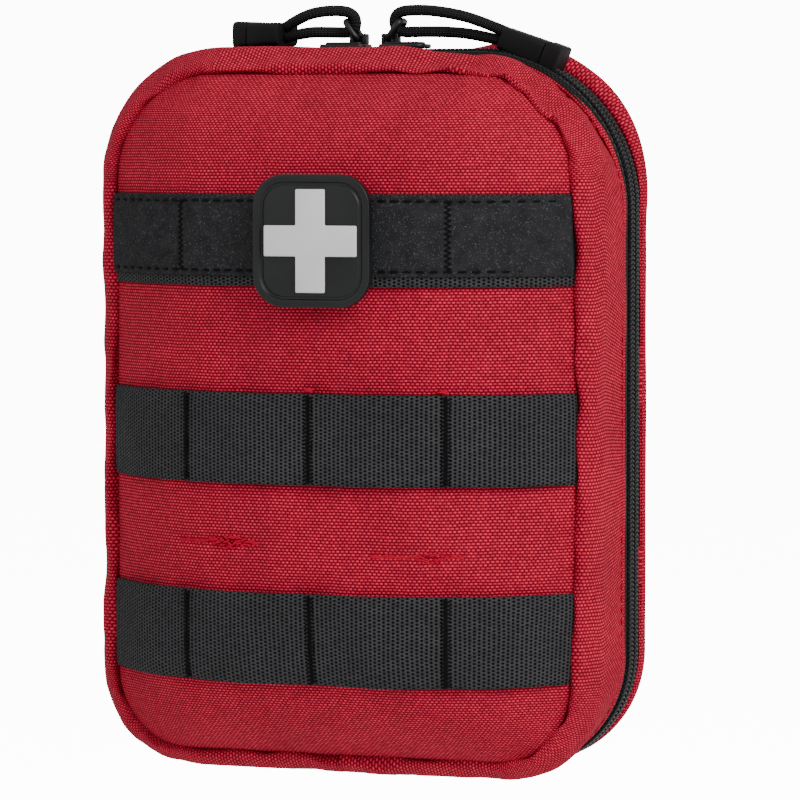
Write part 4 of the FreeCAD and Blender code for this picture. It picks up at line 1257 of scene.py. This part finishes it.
# Crepe bandage: a loose cotton weave, cream, with raised yarns that carry a painted highlight,
# and painted shade in the gaps.
cotton_crepe = woven("cotton_crepe_bandage", "A08C68", "D8CAA8", "EFE4CB", 1.1, 1.4, roughness=0.9,
                     relief=0.3, lift=0.6)
# Woven plaster tape: fine cotton cloth, off white, with adhesive that dulls its edges, and with
# painted highlights on its floats and painted shade in its gaps.
plaster_tape = woven("cotton_plaster_tape", "B9B09C", "DDD6C6", "EFEAE0", 0.5, 0.7, roughness=0.8,
                     relief=0.08, lift=0.5)
# Grey brown card, pressed and cut, with no coating.
pressed_card = grained("pressed_grey_brown_card", "8C7453", "A48C68", 0.85, 0.8, 0.08)


def rolled_profile(radius, core, low, high, layer):
    """A roll's section from the middle of its lower end to the middle of its upper end; each
    layer of cloth shows as a ridge on the ends."""
    steps = int((radius - core) / layer)
    end = []
    for index in range(steps):
        start = core + index * layer
        for part, drop in ((0.15, 0.5), (0.5, 0.0), (0.85, 0.12)):
            end.append((start + part * layer, drop))
    lower = [(r, low + drop) for r, drop in end]
    upper = [(r, high - drop) for r, drop in reversed(end)]
    side = [(radius - 0.02 - 0.25 * abs(math.sin(i * 1.3)), low + (high - low) * i / 24)
            for i in range(1, 24)]
    return lower + side + upper


for name, x in (("bandage_left", -41.0), ("bandage_centre", 0.0)):
    profile = rolled_profile(ROLL_RADIUS, 1.2, 14.0, 89.0, 1.6)
    profile = [(0, 15.0)] + profile + [(0, 88.0)]
    roll = turned(f"{name}_roll", profile, (x, LOOP_CENTRE_Y, 0), (0, 0, 1), steps=72)
    finished(roll, cotton_crepe, "bandage_gauze", "back_shell", name)
tape_profile = rolled_profile(ROLL_RADIUS, 11.05, 38.0, 63.0, 0.9)
tape_profile = tape_profile + [(11.05, 62.5), (11.05, 50), (11.05, 38.5), tape_profile[0]]
tape_roll = turned("tape_roll_winding", tape_profile, (41.0, LOOP_CENTRE_Y, 0), (0, 0, 1), steps=72)
finished(tape_roll, plaster_tape, "adhesive_tape", "back_shell", "tape_roll")
core_profile = ((10.95, 38.2), (10.95, 62.8), (10.6, 63.0), (10.2, 63.0), (10.0, 62.8),
                (10.0, 38.2), (10.2, 38.0), (10.6, 38.0), (10.95, 38.2))
tape_core = turned("tape_core_tube", core_profile, (41.0, LOOP_CENTRE_Y, 0), (0, 0, 1), steps=56)
finished(tape_core, pressed_card, "card", "back_shell", "tape_core")
for side, x in (("left", -41.0), ("centre", 0.0), ("right", 41.0)):
    def loop_spine(u, across):
        turn = 2 * math.pi * u
        out = Vector((math.cos(turn), math.sin(turn), 0))
        middle = Vector((x, LOOP_CENTRE_Y, 50.5 + across))
        return middle + out * LOOP_RADIUS, out, LOOP_RADIUS * turn

    loop = strip(f"elastic_loop_{side}_band", 72, loop_spine, 25.0, 0.75, closed=False, sides=24)
    finished(loop, ribbed_elastic, "black_elastic", "back_shell", f"elastic_loop_{side}")

# ------------------------------------------------------------------------- net pocket and its packs
# Above the rolls, a bellows pocket of the same net holds a wound dressing, wipes and plasters in
# sealed sachets. Each sachet is two layers of film or paper, crimped round its edge.
def sachet(name, low, high, border, puff_at):
    """Two layers sealed round the edge, with something flat inside."""
    low, high = Vector(low), Vector(high)
    size, middle = high - low, (low + high) / 2

    def place(u, v):
        near = v < 0.5
        up = (4 * v - 1) if near else (3 - 4 * v)
        across = 2 * u - 1
        x, z = middle.x + across * size.x / 2, middle.z + up * size.z / 2
        edge = min((1 - abs(across)) * size.x, (1 - abs(up)) * size.z) / 2
        puff = smooth(border * 0.7, border + puff_at, edge)
        crimp = 0.12 * math.sin(z * 3.2) if edge < border else 0.0
        crease = 0.5 * puff * (waves(x / 9, z / 13, size.x) + 0.5 * waves(x / 4, z / 4, size.z))
        thick = min(0.25 * smooth(0, 0.8, edge) + puff * (size.y / 2 - 0.6) + crease * 0.5,
                    size.y / 2)
        y = middle.y + crimp * smooth(0, 0.8, edge) + (-thick if near else thick)
        return (x, y, z), (x, z)
    return sewn(name, 64, 128, place, closed=True)


def film(name, colour, worn, roughness):
    """A sachet's film or paper, with a soft shine on top."""
    return grained(name, colour, worn, roughness, 2.5, 0.12,
                   **{"Coat Weight": 0.35, "Coat Roughness": 0.2})


# Heat-sealed polyethylene film: smooth, with a soft shine; paper sachets are duller.
dressing = sachet("wound_dressing_sachet", (-60, 6.3, 98.3), (-2, 16.3, 174.3), 5.0, 7.0)
finished(dressing, film("white_polyethylene_film", "DCE2E4", "EDF0F0", 0.42),
         "pack_film", "back_shell", "wound_dressing")
wipes = sachet("wipes_sachet", (2, 10.8, 98.3), (56, 16.3, 164.3), 4.5, 6.0)
finished(wipes, film("blue_foil_sachet", "9DB9C9", "B9D0DB", 0.36),
         "pack_film", "back_shell", "wipes_pack")
plasters = sachet("plasters_sachet", (2, 5.8, 98.3), (52, 10.3, 171.3), 3.5, 5.0)
finished(plasters, film("waxed_paper_sachet", "E6DCC6", "F0E9D8", 0.6),
         "pack_film", "back_shell", "plaster_pack")


POCKET_WALL, POCKET_HALF = 13.6, 61.6


def pocket_net(u, v):
    """Out along the left wall, across the front and back along the right wall."""
    z = 97.6 + 52.2 * v
    around = u * (2 * POCKET_WALL + 2 * POCKET_HALF)
    column = round(u * POCKET_COLUMNS)
    z += (NET_CELL / 2 if column % 2 else 0) * 0.8 * smooth(0, 0.06, v) * smooth(1, 0.94, v)
    if around < POCKET_WALL:
        x, y = -POCKET_HALF, 16.6 - around
    elif around > POCKET_WALL + 2 * POCKET_HALF:
        x, y = POCKET_HALF, 3.0 + (around - POCKET_WALL - 2 * POCKET_HALF)
    else:
        x = -POCKET_HALF + (around - POCKET_WALL)
        y = 3.0 + 0.3 * waves(around / 18, z / 18, 2.9)
    return (x, y, z), (around, z)


back_pocket = netted("mesh_pocket_net", POCKET_COLUMNS, 22, pocket_net)
finished(back_pocket, polyester_net, "black_mesh", "back_shell", "mesh_pocket")


def pocket_binding(u, across):
    x = (2 * u - 1) * 61.9
    return (x, 2.9, 153.0 + across), (0, -1, 0), x


binding = strip("pocket_binding_tape", 60, pocket_binding, 6.0, 1.3, sides=16)
finished(binding, binding_tape, "black_mesh", "back_shell", "pocket_binding")
